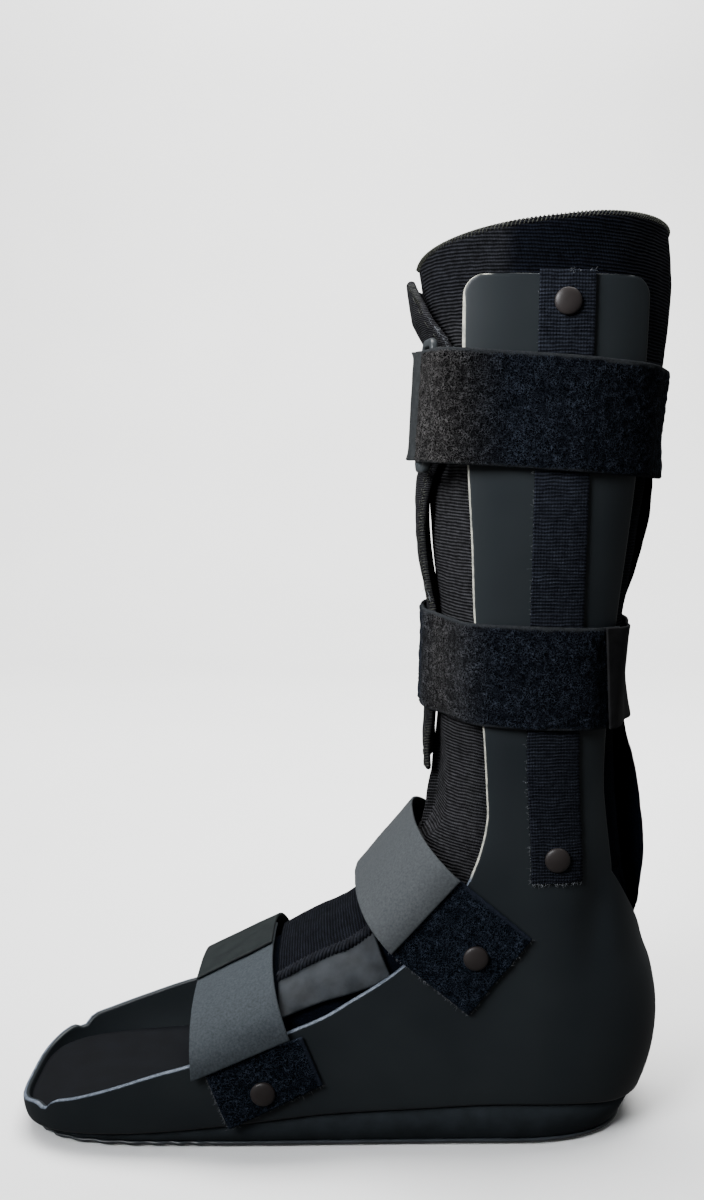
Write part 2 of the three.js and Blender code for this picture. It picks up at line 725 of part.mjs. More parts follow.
// A point of the ring's frame: how far across from between its bars, and how far out of the plane.
function ringPlace(z, across, out) {
  const share = (z - ringLow) / upperStrapWidth;
  const plane = (level) => Math.max(...hullAt(level).map((p) => dot(p, ringOut)));
  const middle = (level) => dot(onHull(level, ringDegrees), ringAcross);
  const off = mix(plane(ringLow), plane(ringHigh), share) + out;
  const run = mix(middle(ringLow), middle(ringHigh), share) + across;
  return [ringAcross[0] * run + ringOut[0] * off, ringAcross[1] * run + ringOut[1] * off, z];
}

// A strap's end looped round a bar: its tail lies under the bar, and it leaves over it. side is 1 at
// the rear bar and -1 at the front one, and the strap settles to its own stand-off.
function loopedEnd(side, thickness, settled) {
  const bar = (side * barSpan) / 2;
  const stop = (across, out) => ({
    degrees: ringDegrees + side * barDegrees,
    fold: (z, k) => ringPlace(z, bar + across(barHold + k * thickness), ringOff + out(barHold + k * thickness)),
  });
  const away = (degrees, skins) => ({ degrees: ringDegrees + side * (barDegrees + degrees), skins });
  const under = ringOff - barHold;
  const tail = [13, 8].map((degrees) => away(degrees, [under, under - thickness]));
  const turns = [-60, -20, 20, 60].map((degrees) => {
    const angle = THREE.MathUtils.degToRad(degrees);
    return stop((hold) => -side * hold * Math.cos(angle), (hold) => hold * Math.sin(angle));
  });
  const leaving = [9, 15, 22, 30].map((degrees) => {
    const off = mix(ringOff + barHold, settled, ease((degrees - 3) / 27));
    return away(degrees, [off, off + thickness]);
  });
  return [
    ...tail,
    stop(() => side * barHold, (hold) => -hold),
    ...turns,
    stop(() => side * barHold, (hold) => hold),
    ...leaving,
  ];
}

const plainStops = (angles, off, thickness) =>
  angles.map((degrees) => ({ degrees, skins: [off, off + thickness] }));

const overStrap = lay + strapThickness + lay;
const upperStrapEnd = 40 * stopStep;
const upperTabEnd = -10 * stopStep;

const upperStrapStops = [
  ...loopedEnd(1, strapThickness, lay),
  ...plainStops(stopsBetween(10 * stopStep, upperStrapEnd), lay, strapThickness),
];
const upperTabStops = [
  ...loopedEnd(-1, tabThickness, overStrap),
  ...plainStops(stopsBetween(-stopStep, upperTabEnd), overStrap, tabThickness),
];

const lowerStrapEnd = 16 * stopStep;
const lowerTabStops = stopsBetween(lowerStrapEnd - stopStep, 360 - lowerStrapEnd + stopStep).map((degrees) => {
  const past = Math.min(degrees - lowerStrapEnd, 360 - lowerStrapEnd - degrees);
  const off = mix(overStrap, lay, ease(clamp(past / (3 * stopStep), 0, 1)));
  return { degrees, skins: [off, off + tabThickness] };
});

// The ring: a flat rounded frame whose long sides are the two bars.
function roundedOutline(path, width, height, radius) {
  const [w, h] = [width / 2, height / 2];
  path.moveTo(-w + radius, -h);
  path.lineTo(w - radius, -h);
  path.absarc(w - radius, -h + radius, radius, -Math.PI / 2, 0);
  path.lineTo(w, h - radius);
  path.absarc(w - radius, h - radius, radius, 0, Math.PI / 2);
  path.lineTo(-w + radius, h);
  path.absarc(-w + radius, h - radius, radius, Math.PI / 2, Math.PI);
  path.lineTo(-w, -h + radius);
  path.absarc(-w + radius, -h + radius, radius, Math.PI, 1.5 * Math.PI);
  return path;
}

function ringMesh() {
  const shape = roundedOutline(new THREE.Shape(), ringWidth, ringHeight, ringWidth * 0.3);
  const holeWidth = ringWidth - 2 * ringBar;
  shape.holes.push(roundedOutline(new THREE.Path(), holeWidth, ringHeight - 2 * ringBar, holeWidth * 0.2));
  const geometry = new THREE.ExtrudeGeometry(shape, { depth: ringDepth, bevelEnabled: false, curveSegments: 4 });
  geometry.translate(0, 0, -ringDepth / 2);
  const low = new THREE.Vector3(...ringPlace(ringLow, 0, ringOff));
  const high = new THREE.Vector3(...ringPlace(ringHigh, 0, ringOff));
  const middle = low.clone().add(high).multiplyScalar(0.5);
  const up = high.sub(low).normalize();
  const across = new THREE.Vector3(...ringAcross, 0);
  const out = new THREE.Vector3().crossVectors(across, up).normalize();
  across.crossVectors(up, out);
  const mesh = addPiece('calf_ring', geometry, finishes.ring);
  mesh.matrixAutoUpdate = false;
  mesh.matrix.makeBasis(across, up, out).setPosition(middle);
  mesh.matrix.decompose(mesh.position, mesh.quaternion, mesh.scale);
  mesh.matrixAutoUpdate = true;
}

// Straps over the foot

// Places in the side view, as shares of halfLength along and of uprightTop up. front and rear are
// the two long edges of a strap. side is where its tab ends on the shell, crest its highest line,
// foot the end of its patch, and under where the patch ends below the tab.
const footStraps = {
  ankle: {
    crest: { front: [0.05, 0.287], rear: [0.232, 0.375] },
    side: { front: [0.165, 0.242], rear: [0.367, 0.328] },
    under: { front: [0.14, 0.249], rear: [0.342, 0.336] },
    foot: { front: [0.379, 0.172], rear: [0.563, 0.263] },
    rivet: [0.398, 0.242],
    power: 2.5,
  },
  forefoot: {
    crest: { front: [-0.452, 0.164], rear: [-0.208, 0.212] },
    side: { front: [-0.434, 0.086], rear: [-0.135, 0.136] },
    under: { front: [-0.398, 0.105], rear: [-0.11, 0.148] },
    foot: { front: [-0.33, 0.033], rear: [-0.049, 0.089] },
    rivet: [-0.226, 0.081],
    power: 2.7,
  },
};

const inSideView = ([along, level]) => [along * halfLength, level * uprightTop];

function between(line, share) {
  const [a, b] = [inSideView(line.front), inSideView(line.rear)];
  return [mix(a[0], b[0], share), mix(a[1], b[1], share)];
}

const onShell = lay + patchThickness + lay;

// A point of a strap that arches over the foot, from angle 0 at the near side to 180 at the far.
function archPoint(strap, share, degrees, off) {
  const angle = THREE.MathUtils.degToRad(degrees);
  const [sx, sz] = between(strap.side, share);
  const [cx, cz] = between(strap.crest, share);
  const length = Math.hypot(cx - sx, cz - sz);
  const rise = ((length + off) / length) * Math.abs(Math.sin(angle)) ** (2 / strap.power);
  const half = halfWidth(sx, sz) + onShell + off;
  const y = -Math.sign(Math.cos(angle)) * half * Math.abs(Math.cos(angle)) ** (2 / strap.power);
  return [sx + (cx - sx) * rise, y, sz + (cz - sz) * rise];
}

function archBand(strap, angles, off, thickness) {
  const rows = 4;
  const skin = (depth) => (row, column) => archPoint(strap, row / (rows - 1), angles[column], off + depth);
  return gridWall(rows, angles.length, skin(thickness), skin(0));
}

// A flat piece on the shell's side. place gives [x, z] for shares along and across it.
function sidePiece(side, place, along, across, thickness) {
  const skin = (depth) => (row, column) => {
    const [x, z] = place(row / (along - 1), column / (across - 1));
    return [x, side * (halfWidth(x, z) + lay + depth), z];
  };
  return gridWall(along, across, skin(thickness), skin(0));
}

function stripX(z) {
  const turn = ease(clamp((z - stripFoot) / (0.17 * uprightTop), 0, 1));
  return mix(0.633, 0.612, turn) * halfLength;
}

const stripPlace = (along, across) => {
  const z = mix(stripFoot, uprightTop + stripThickness, along);
  return [stripX(z) + (across - 0.5) * stripWidth, z];
};

const patchPlace = (strap) => (along, across) => {
  const [ux, uz] = between(strap.under, across);
  const [fx, fz] = between(strap.foot, across);
  return [mix(ux, fx, along), mix(uz, fz, along)];
};

// Rivets

const domeSteps = 2;

function rivetGeometry(length) {
  const head = rivetHead / 2;
  const rim = rivetRise / 4;
  const dome = Array.from({ length: domeSteps }, (_, k) => {
    const angle = (Math.PI / 2) * (k / domeSteps);
    return new THREE.Vector2(head * Math.cos(angle), rim + (rivetRise - rim) * Math.sin(angle));
  });
  const profile = [
    new THREE.Vector2(0, -length),
    new THREE.Vector2(rivetShank / 2, -length),
    new THREE.Vector2(rivetShank / 2, 0),
    new THREE.Vector2(head, 0),
    ...dome,
    new THREE.Vector2(0, rivetRise),
  ];
  return new THREE.LatheGeometry(profile, 10);
}

// Where each rivet goes in the side view, and the thickness of what it holds on the shell.
const rivets = {
  strip_top: { place: [stripX(0.971 * uprightTop), 0.971 * uprightTop], holds: stripThickness },
  strip_foot: { place: [stripX(stripFoot + rivetHead), stripFoot + rivetHead], holds: stripThickness },
  ankle: { place: inSideView(footStraps.ankle.rivet), holds: patchThickness },
  forefoot: { place: inSideView(footStraps.forefoot.rivet), holds: patchThickness },
};

// The tool that drills a rivet's hole from the inside of the shell out.
function drill([x, z], side) {
  const radius = rivetShank / 2 + holeGap;
  const length = 6 * shellWall;
  const tool = new THREE.CylinderGeometry(radius, radius, length, 10);
  tool.translate(x, side * halfWidth(x, z), z);
  return tool;
}

// Building the boot

const sides = { near: -1, far: 1 };

const shellTools = Object.values(rivets).flatMap(({ place }) => Object.values(sides).map((side) => drill(place, side)));
addPiece('shell', cut(shellGeometry(), shellTools), finishes.shell);

addPiece('outsole', solePiece(
  { height: () => outsoleThickness, inset: 1 },
  { height: () => 0, inset: outsoleInset },
), finishes.outsole);
addPiece('sole_block', solePiece(
  { height: (x) => blockHeight(x) - gap, inset: shellEdge },
  { height: () => outsoleThickness + gap, inset: shellEdge },
), finishes.block);
addPiece('insole', solePiece(
  { height: (x) => blockHeight(x) + shellWall + gap + insoleThickness, inset: shellWall + gap },
  { height: (x) => blockHeight(x) + shellWall + gap, inset: shellWall + shellEdge + gap },
), finishes.insole);

const shellSpace = shellGeometry(gap);
addPiece('liner', cut(linerGeometry(), [shellSpace]), finishes.knit);
addPiece('front_flap', flapGeometry(), finishes.knit);

// The instep's two sheets, by their angles from the middle of its top. The seam between them is on
// the near side, and the tongue goes over to the far one.
const tongueSteps = [2, 2.5, 3, 3.5, 4, 4.5];
const seamDegrees = 38;
const seamSpan = 2;
const tongueFarDegrees = -60;
const flapEdgeDegrees = 70;
addPiece('tongue', linerSheet(
  tongueSteps,
  seamDegrees - seamSpan,
  tongueFarDegrees,
  tongueThickness,
), finishes.knit);
const instepFlap = linerSheet(tongueSteps, seamDegrees, flapEdgeDegrees, instepFlapThickness);
addPiece('instep_flap', cut(instepFlap, [shellSpace]), finishes.smooth);

addPiece('calf_strap_upper', band(upperStrapStops, upperLevel, upperStrapWidth), finishes.pile);
ringMesh();
addPiece('calf_tab_upper', band(upperTabStops, upperLevel, upperStrapWidth), finishes.tab);
addPiece('calf_strap_lower', band(
  plainStops(stopsBetween(-lowerStrapEnd, lowerStrapEnd), lay, strapThickness),
  lowerLevel,
  lowerStrapWidth,
), finishes.pile);
const tabSlant = 7;
addPiece('calf_tab_lower', band(lowerTabStops, lowerLevel, lowerStrapWidth, tabSlant), finishes.smooth);

// Angles at which the straps over the foot end, from 0 at the near side over the crest to 180. The
// two halves of the forefoot strap lap at the crest.
const nearEnd = 4;
const farEnd = 180 - nearEnd;
const tabPastCrest = 104;
const strapPastCrest = 84;
addPiece('ankle_tab', archBand(footStraps.ankle, spread(nearEnd, farEnd, 17), 0, tabThickness), finishes.tab);
addPiece('forefoot_tab', archBand(
  footStraps.forefoot,
  spread(nearEnd, tabPastCrest, 11),
  0,
  tabThickness,
), finishes.tab);
addPiece('forefoot_strap', archBand(
  footStraps.forefoot,
  spread(farEnd, strapPastCrest, 10),
  tabThickness + gap,
  tabThickness,
), finishes.smooth);

for (const [name, side] of Object.entries(sides)) {
  for (const strap of ['ankle', 'forefoot']) {
    const patch = sidePiece(side, patchPlace(footStraps[strap]), 4, 4, patchThickness);
    addPiece(`${strap}_patch_${name}`, cut(patch, [drill(rivets[strap].place, side)]), finishes.pile);
  }
  const strip = sidePiece(side, stripPlace, 14, 3, stripThickness);
  const stripTools = [drill(rivets.strip_top.place, side), drill(rivets.strip_foot.place, side)];
  addPiece(`side_strip_${name}`, cut(strip, stripTools), finishes.ribbed);
  for (const [rivetName, { place: [x, z], holds }] of Object.entries(rivets)) {
    const seat = lay + holds + gap;
    const rivet = addPiece(`${rivetName}_rivet_${name}`, rivetGeometry(seat + shellWall), finishes.rivet);
    rivet.position.set(x, side * (halfWidth(x, z) + seat), z);
    rivet.rotation.x = side < 0 ? Math.PI : 0;
  }
}

export default boot;
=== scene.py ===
"""Looks of a medical walking boot: a moulded shell with two uprights, a knit foam liner, and pile straps.

Forms are worked out in millimetres, in the part's own frame, and turned to metres when a mesh is made.
-X is the toe, +X the heel, -Y the near side, +Z up.
"""

import bpy
import mathutils
import numpy as np
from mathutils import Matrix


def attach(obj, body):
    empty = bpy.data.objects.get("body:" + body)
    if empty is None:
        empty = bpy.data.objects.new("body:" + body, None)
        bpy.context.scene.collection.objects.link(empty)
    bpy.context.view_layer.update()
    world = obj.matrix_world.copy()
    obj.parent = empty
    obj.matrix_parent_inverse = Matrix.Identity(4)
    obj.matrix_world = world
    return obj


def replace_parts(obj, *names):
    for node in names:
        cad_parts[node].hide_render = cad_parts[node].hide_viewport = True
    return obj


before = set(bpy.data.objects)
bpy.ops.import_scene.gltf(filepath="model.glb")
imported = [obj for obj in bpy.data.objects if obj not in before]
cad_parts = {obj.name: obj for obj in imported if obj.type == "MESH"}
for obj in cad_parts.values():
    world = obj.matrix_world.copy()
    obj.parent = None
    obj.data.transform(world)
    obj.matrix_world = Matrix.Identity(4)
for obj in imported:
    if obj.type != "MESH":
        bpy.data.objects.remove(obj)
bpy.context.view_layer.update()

MM = 0.001

# Sizes of the moulded shell
foot_length = 327
ball_width = 108
heel_width = 103
calf_width = 135
upright_top = 418
cup_top = 94
shell_wall = 3
shell_edge = 2
upright_corner = 9
dent_depth = 3.5
notch_depth = 4

# Sizes of the sole
outsole_thickness = 3.5
outsole_inset = 4
block_top = 24
insole_thickness = 4

# Sizes of the liner and its flaps
liner_rise = 13
liner_slope = 13
liner_arch = 7
liner_wall = 8
flap_thickness = 3.5
tongue_thickness = 3
instep_flap_thickness = 2.5

# Sizes of the straps, strips and patches
strap_thickness = 2.2
tab_thickness = 1.6
upper_strap_width = 51
lower_strap_width = 49
patch_thickness = 2.2
strip_width = 25
strip_thickness = 1.4
strip_foot = 137
foot_strap_width = 46

# Sizes of the ring and the rivets
ring_height = 62
ring_width = 19
ring_bar = 4
ring_depth = 3.5
rivet_head = 12
rivet_rise = 2.4

# Clearances, and the powers of the outlines of the toe, heel, heel cup and calf
gap = 0.4
lay = 0.7
toe_power = 3.6
heel_power = 2.5
cup_power = 1.6
calf_power = 2.3

half_length = foot_length / 2
centre_x = 0.58 * half_length

# Sizes of what only shows close by: ribs, piles, threads and cut edges
liner_rib = 1.55
strip_rib = 1.6
pile_clump = 1.5
serge_pitch = 1.8
thread = 0.3
edge_round = 1.1

# How far in from its cut edge the shell is pale: on the foot, a scrape that also carries a painted highlight;
# up the front, a scrape; and elsewhere, where it isn't
foot_scrape_and_highlight = 1.0
front_trim = 0.6
no_trim = -0.2

# Level sections of the shell's outside, as shares of the sizes above
shell_sections = (
    ["level", "toe", "toe_cap", "heel_cap", "heel", "rear", "ball", "calf"],
    [
        [0.0, -0.945, -0.46, 0.49, 0.89, 0.88, 1.0, 0.0],
        [0.019, -0.99, -0.46, 0.49, 0.915, 0.93, 1.0, 0.0],
        [0.053, -1.0, -0.46, 0.49, 0.96, 0.98, 1.0, 0.0],
        [0.096, -1.0, -0.46, 0.49, 0.992, 1.0, 1.0, 0.0],
        [0.145, -1.0, -0.46, 0.49, 1.0, 1.0, 1.0, 0.0],
        [0.196, -0.9, -0.46, 0.49, 0.978, 1.0, 0.9, 0.0],
        [0.225, -0.8, -0.46, 0.5, 0.95, 1.0, 0.8, 0.0],
        [0.268, -0.4, -0.1, 0.52, 0.925, 1.0, 0.5, 0.0],
        [0.306, 0.0, 0.25, 0.54, 0.905, 1.0, 0.2, 0.0],
        [0.359, 0.24, 0.52, 0.56, 0.885, 1.0, 0.0, 0.0],
        [0.431, 0.29, 0.56, 0.56, 0.865, 1.0, 0.0, 0.03],
        [0.498, 0.28, 0.56, 0.56, 0.86, 1.0, 0.0, 0.15],
        [0.627, 0.25, 0.56, 0.56, 0.88, 1.0, 0.0, 0.375],
        [0.785, 0.215, 0.56, 0.56, 0.93, 1.0, 0.0, 0.7],
        [0.945, 0.18, 0.56, 0.56, 0.98, 1.0, 0.0, 0.96],
        [1.08, 0.17, 0.56, 0.56, 0.99, 1.0, 0.0, 1.04],
    ],
)
foot_rim = (
    ["along", "level"],
    [
        [-1.0, 0.038], [-0.95, 0.048], [-0.86, 0.06], [-0.795, 0.067], [-0.67, 0.083], [-0.55, 0.099],
        [-0.46, 0.109], [-0.245, 0.136], [-0.12, 0.156], [-0.04, 0.17], [0.03, 0.187], [0.116, 0.208],
        [0.19, 0.23], [0.275, 0.263], [0.335, 0.297], [0.379, 0.331],
    ],
)
upright_edges = (
    ["level", "front", "back"],
    [
        [0.331, 0.379, 0.813], [0.364, 0.41, 0.8], [0.4, 0.428, 0.787], [0.435, 0.425, 0.777],
        [0.488, 0.416, 0.777], [0.557, 0.4, 0.783], [0.637, 0.38, 0.8], [0.713, 0.37, 0.82],
        [0.797, 0.355, 0.838], [0.921, 0.336, 0.85], [1.0, 0.336, 0.852],
    ],
)
block_profile = (
    ["along", "height"],
    [
        [-1.0, 0.25], [-0.7, 0.33], [-0.54, 0.4], [-0.31, 0.58], [-0.05, 0.81], [0.24, 0.92],
        [0.48, 1.0], [0.67, 0.94], [0.81, 0.8], [1.0, 0.7],
    ],
)

# Sections of the liner from the toe mouth to the rim, each between a point in front and one behind
liner_sections = (
    ["at", "front_x", "front_z", "back_x", "back_z", "square"],
    [
        [0, -0.44, 0.147, -0.44, 0.043, 3.6],
        [1, -0.31, 0.174, -0.31, 0.053, 3.6],
        [2, -0.19, 0.204, -0.15, 0.064, 3.6],
        [3, -0.08, 0.23, 0.0, 0.07, 3.6],
        [4, 0.03, 0.252, 0.2, 0.075, 3.4],
        [5, 0.13, 0.29, 0.45, 0.078, 3.2],
        [6, 0.2, 0.326, 0.72, 0.08, 2.9],
        [7, 0.243, 0.353, 0.93, 0.105, 2.6],
        [8, 0.26, 0.377, 0.955, 0.16, 2.4],
        [9, 0.268, 0.401, 0.925, 0.215, 2.3],
        [10, 0.278, 0.425, 0.945, 0.275, 2.2],
        [11, 0.286, 0.45, 0.955, 0.35, 2.1],
        [12, 0.292, 0.475, 0.93, 0.43, 2.0],
        [13, 0.297, 0.5, 0.887, 0.49, 2.0],
        [14, 0.3, 0.56, 0.864, 0.56, 2.0],
        [15, 0.303, 0.625, 0.87, 0.625, 2.0],
        [16, 0.287, 0.68, 0.908, 0.68, 2.0],
        [17, 0.276, 0.735, 0.94, 0.735, 2.0],
        [18, 0.272, 0.785, 0.952, 0.785, 2.0],
        [19, 0.303, 0.84, 0.95, 0.84, 2.0],
        [20, 0.315, 0.9, 0.965, 0.9, 2.0],
        [21, 0.258, 0.96, 0.985, 0.96, 2.0],
        [22, 0.228, 1.0, 0.972, 1.0, 2.0],
    ],
)
liner_rim_at = 22

flap_sections = (
    ["level", "front", "free", "sewn"],
    [
        [0.432, 0.262, -0.1, 0.5], [0.464, 0.257, -0.14, 0.5], [0.5, 0.263, -0.2, 0.5],
        [0.56, 0.268, -0.28, 0.5], [0.63, 0.27, -0.2, 0.5], [0.656, 0.256, -0.2, 0.5],
        [0.7, 0.238, -0.22, 0.5], [0.735, 0.231, -0.26, 0.5], [0.785, 0.235, -0.4, 0.5],
        [0.84, 0.275, -0.52, 0.5], [0.9, 0.288, -0.56, 0.5], [0.938, 0.256, -0.52, 0.5],
        [0.964, 0.222, -0.44, 0.5], [0.985, 0.21, -0.34, 0.5], [1.012, 0.2, -0.12, 0.5],
    ],
)

# The straps over the foot, in the side view
foot_straps = {
    "ankle": {
        "crest": [[0.05, 0.287], [0.232, 0.375]],
        "side": [[0.165, 0.242], [0.367, 0.328]],
        "under": [[0.14, 0.249], [0.342, 0.336]],
        "foot": [[0.379, 0.172], [0.563, 0.263]],
        "rivet": [0.398, 0.242],
        "power": 2.5,
    },
    "forefoot": {
        "crest": [[-0.452, 0.164], [-0.208, 0.212]],
        "side": [[-0.434, 0.086], [-0.135, 0.136]],
        "under": [[-0.398, 0.105], [-0.11, 0.148]],
        "foot": [[-0.33, 0.033], [-0.049, 0.089]],
        "rivet": [-0.226, 0.081],
        "power": 2.7,
    },
}


# Numbers

def mix(a, b, t):
    """The value a share t of the way from a to b."""
    return a + (b - a) * t


def ease(t):
    """A share that starts and ends gently: 3t² - 2t³, held between 0 and 1."""
    t = np.clip(t, 0, 1)
    return t * t * (3 - 2 * t)


def bell(value, middle, half):
    """A bell of height 1 at the middle that falls to 1/e at the half width."""
    return np.exp(-(((value - middle) / half) ** 2))


def curve(key, value, at):
    """A smooth curve through value at each key: cubic pieces whose slopes come from both neighbours, straight
    past the ends. value may hold whole rows of points for each key."""
    key, value, at = (np.asarray(v, float) for v in (key, value, at))
    more = (...,) + (None,) * (value.ndim - 1)
    slope = np.empty_like(value)
    slope[1:-1] = (value[2:] - value[:-2]) / (key[2:] - key[:-2])[more]
    slope[0] = (value[1] - value[0]) / (key[1] - key[0])
    slope[-1] = (value[-1] - value[-2]) / (key[-1] - key[-2])
    i = np.clip(np.searchsorted(key, at) - 1, 0, len(key) - 2)
    step = (key[i + 1] - key[i])[more]
    t = (at - key[i])[more] / step
    s = 1 - t
    inside = (
        value[i] * (1 + 2 * t) * s * s + slope[i] * step * t * s * s
        + value[i + 1] * t * t * (3 - 2 * t) - slope[i + 1] * step * t * t * s
    )
    past = np.where(t < 0, value[i] + slope[i] * step * t, value[i + 1] - slope[i + 1] * step * s)
    return np.where((t < 0) | (t > 1), past, inside)


def read(table, column, at):
    """The smooth curve through one column of a table."""
    rows = np.array(table[1])
    return curve(rows[:, 0], rows[:, table[0].index(column)], at)


lattice = np.random.default_rng(7).random((64, 64, 64))


def noise(points, cell, shift=0.0):
    """Smooth noise between -1 and 1: random values on a cubic lattice of the given cell, mixed in between."""
    p = np.asarray(points) / cell + shift
    low = np.floor(p).astype(int)
    t = p - low
    t = t * t * (3 - 2 * t)
    total = 0
    for corner in np.ndindex(2, 2, 2):
        at = (low + corner) % 64
        weight = np.prod(np.where(corner, t, 1 - t), axis=-1)
        total = total + weight * lattice[at[..., 0], at[..., 1], at[..., 2]]
    return 2 * total - 1


def unit(vectors):
    return vectors / np.maximum(np.linalg.norm(vectors, axis=-1, keepdims=True), 1e-9)


def shares(length, step, edge=0.0):
    """Shares from 0 to 1 along a length, a step apart, and closer together at a rounded edge."""
    near = edge * np.array([0, 0.13, 0.38, 0.69]) / length if edge else np.array([])
    count = max(2, round(length / step) + 1)
    return np.concatenate([near, np.linspace(edge / length, 1 - edge / length, count), 1 - near[::-1]])


# The shell's form

def section_at(z):
    """The shell's level section at a height: where toe, heel and straight run lie, and its half widths."""
    level = np.asarray(z, float) / upright_top
    s = {name: read(shell_sections, name, level) for name in shell_sections[0][1:]}
    rear = (s["rear"] * heel_width + s["calf"] * (calf_width - heel_width)) / 2
    places = {name: s[name] * half_length for name in ["toe", "toe_cap", "heel_cap", "heel"]}
    return {**places, "rear": rear, "ball": rear + s["ball"] * (ball_width - heel_width) / 2}


dent_x, dent_half_length = 0.76 * half_length, 0.055 * half_length
dent_z, dent_half_height = 0.285 * upright_top, 0.06 * upright_top


def dent(x, z):
    """The soft hollow behind the ankle, where the heel cup runs into the upright: a bell along and up."""
    return dent_depth * bell(x, dent_x, dent_half_length) * bell(z, dent_z, dent_half_height)


def half_width(x, z, inset=0.0):
    """Half the boot's width: two superellipse ends, an eased straight run between them, less the inset."""
    s = section_at(z)
    x = np.asarray(x, float)

    def cap(half, start, end, power):
        share = np.clip((x - start) / (end - start), 0, 1)
        return (half - inset) * (1 - share**power) ** (1 / power)

    toe = cap(s["ball"], s["toe_cap"], s["toe"] + inset, toe_power)
    heel = cap(s["rear"], s["heel_cap"], s["heel"] - inset, heel_power)
    run = np.maximum(s["heel_cap"] - s["toe_cap"], 1e-6)
    middle = mix(s["ball"], s["rear"], ease((x - s["toe_cap"]) / run)) - inset
    y = np.where(x < s["toe_cap"], toe, np.where(x > s["heel_cap"], heel, middle))
    return np.maximum(0, y - dent(x, z))


def block_height(x):
    return read(block_profile, "height", x / half_length) * block_top


def edge_x(z, side):
    return read(upright_edges, side, np.asarray(z, float) / upright_top) * half_length


split_z = upright_edges[1][0][0] * upright_top
upright_foot_x = upright_edges[1][0][1] * half_length
toe_cap_x = shell_sections[1][0][2] * half_length


def heel_angle():
    """The angle on the heel's superellipse where the upright's back edge meets it."""
    s = section_at(split_z)
    share = (edge_x(split_z, "back") - s["heel_cap"]) / (s["heel"] - s["heel_cap"])
    return np.arccos(share ** (heel_power / 2))


heel_start = heel_angle()

# Distances from the shell's cut edge at which it has a row of points, and the width of an upright there
rim_steps = np.array([3.0, 2.2, 1.5, 0.95, 0.5, 0.15, 0.0])
upright_width = 73
near_edge = rim_steps[::-1] / upright_width
between_edges = np.linspace(near_edge[-1], 1 - near_edge[-1], 29)[1:-1]
upright_share = np.concatenate([near_edge, between_edges, 1 - near_edge[::-1]])

# Rows of the shell round its lower edge, up its wall and at its rim
edge_rows, wall_rows, rim_rows = 6, 15, len(rim_steps) - 1
lower_rows = edge_rows + wall_rows + rim_rows

# Half the outline has four stretches, each with a count of columns: toe, foot, upright and heel
toe_columns, foot_columns, heel_columns = 44, 60, 40
upright_start = toe_columns + foot_columns
upright_end = upright_start + len(upright_share) - 1
last_column = upright_end + heel_columns


def outline(column, z, inset):
    """A point of half the outline, x and y, for whole arrays of columns, heights and insets."""
    column, z, inset = np.broadcast_arrays(np.asarray(column, float), z, inset)
    s = section_at(z)
    t = np.clip(column / toe_columns, 0, 1)
    angle = np.pi / 2 * t**1.8 / (t**1.8 + (1 - t) ** 1.8)
    cosine = np.maximum(np.cos(angle), 0)
    toe_x = s["toe_cap"] - (s["toe_cap"] - s["toe"] - inset) * cosine ** (2 / toe_power)
    toe_y = (s["ball"] - inset) * np.sin(angle) ** (2 / toe_power)
    foot_x = mix(toe_cap_x, upright_foot_x, (column - toe_columns) / foot_columns)
    back = heel_start * np.clip((last_column - column) / heel_columns, 0, 1)
    back_x = s["heel_cap"] + (s["heel"] - inset - s["heel_cap"]) * np.cos(back) ** (2 / heel_power)
    share = np.interp(column - upright_start, np.arange(len(upright_share)), upright_share)
    side_x = mix(upright_foot_x, back_x, share)
    heel_y = (s["rear"] - inset) * np.sin(back) ** (2 / heel_power)
    heel_y = np.maximum(0, heel_y - np.where(column >= last_column, 0, dent(back_x, z)))
    stretches = [column < toe_columns, column <= upright_start, column < upright_end]
    x = np.select(stretches, [toe_x, foot_x, side_x], back_x)
    y = np.select(stretches, [toe_y, half_width(foot_x, z, inset), half_width(side_x, z, inset)], heel_y)
    return x, y


def foot_rim_z(x):
    notch = notch_depth * bell(x, -0.895 * half_length, 0.02 * half_length)
    return read(foot_rim, "level", x / half_length) * upright_top - notch


def rim_z(column):
    """The height of the shell's edge above a column: the foot's rim, the uprights' foot, the heel cup."""
    foot = foot_rim_z(outline(column, 0.05 * upright_top, 0)[0])
    angle = heel_start * np.clip((last_column - column) / heel_columns, 0, 1)
    across = (np.sin(angle) / np.sin(heel_start)) ** (2 / heel_power)
    stretches = [column <= upright_start, column <= upright_end]
    return np.select(stretches, [foot, split_z], mix(cup_top, split_z, across**cup_power))


# Meshes

def grid_faces(rows, columns, close_rows=False, close_columns=False):
    """The quads of a grid of points that are numbered row by row."""
    r = np.arange(rows if close_rows else rows - 1)[:, None]
    c = np.arange(columns if close_columns else columns - 1)[None, :]
    up, on = (r + 1) % rows, (c + 1) % columns
    corners = [r * columns + c, r * columns + on, up * columns + on, up * columns + c]
    return np.stack(corners, -1).reshape(-1, 4)


def open_edges(count, quads):
    """The edges that only one quad has, each running the way that its quad does."""
    edges = np.concatenate([quads[:, [k, (k + 1) % 4]] for k in range(4)])
    edges = edges[edges[:, 0] != edges[:, 1]]
    return edges[~np.isin(edges @ [count, 1], edges @ [1, count])]


def wall(outer, inner, quads):
    """A closed wall: an outer skin, an inner skin turned round, and a strip of faces on every open edge."""
    count = len(outer)
    a, b = open_edges(count, quads).T
    strip = np.stack([b, a, a + count, b + count], 1)
    return np.concatenate([outer, inner]), np.concatenate([quads, quads[:, ::-1] + count, strip])


def signed_volume(points, quads):
    p, q, r, s = (points[quads[:, k]] for k in range(4))
    return (np.cross(p, q) * r).sum() + (np.cross(p, r) * s).sum()


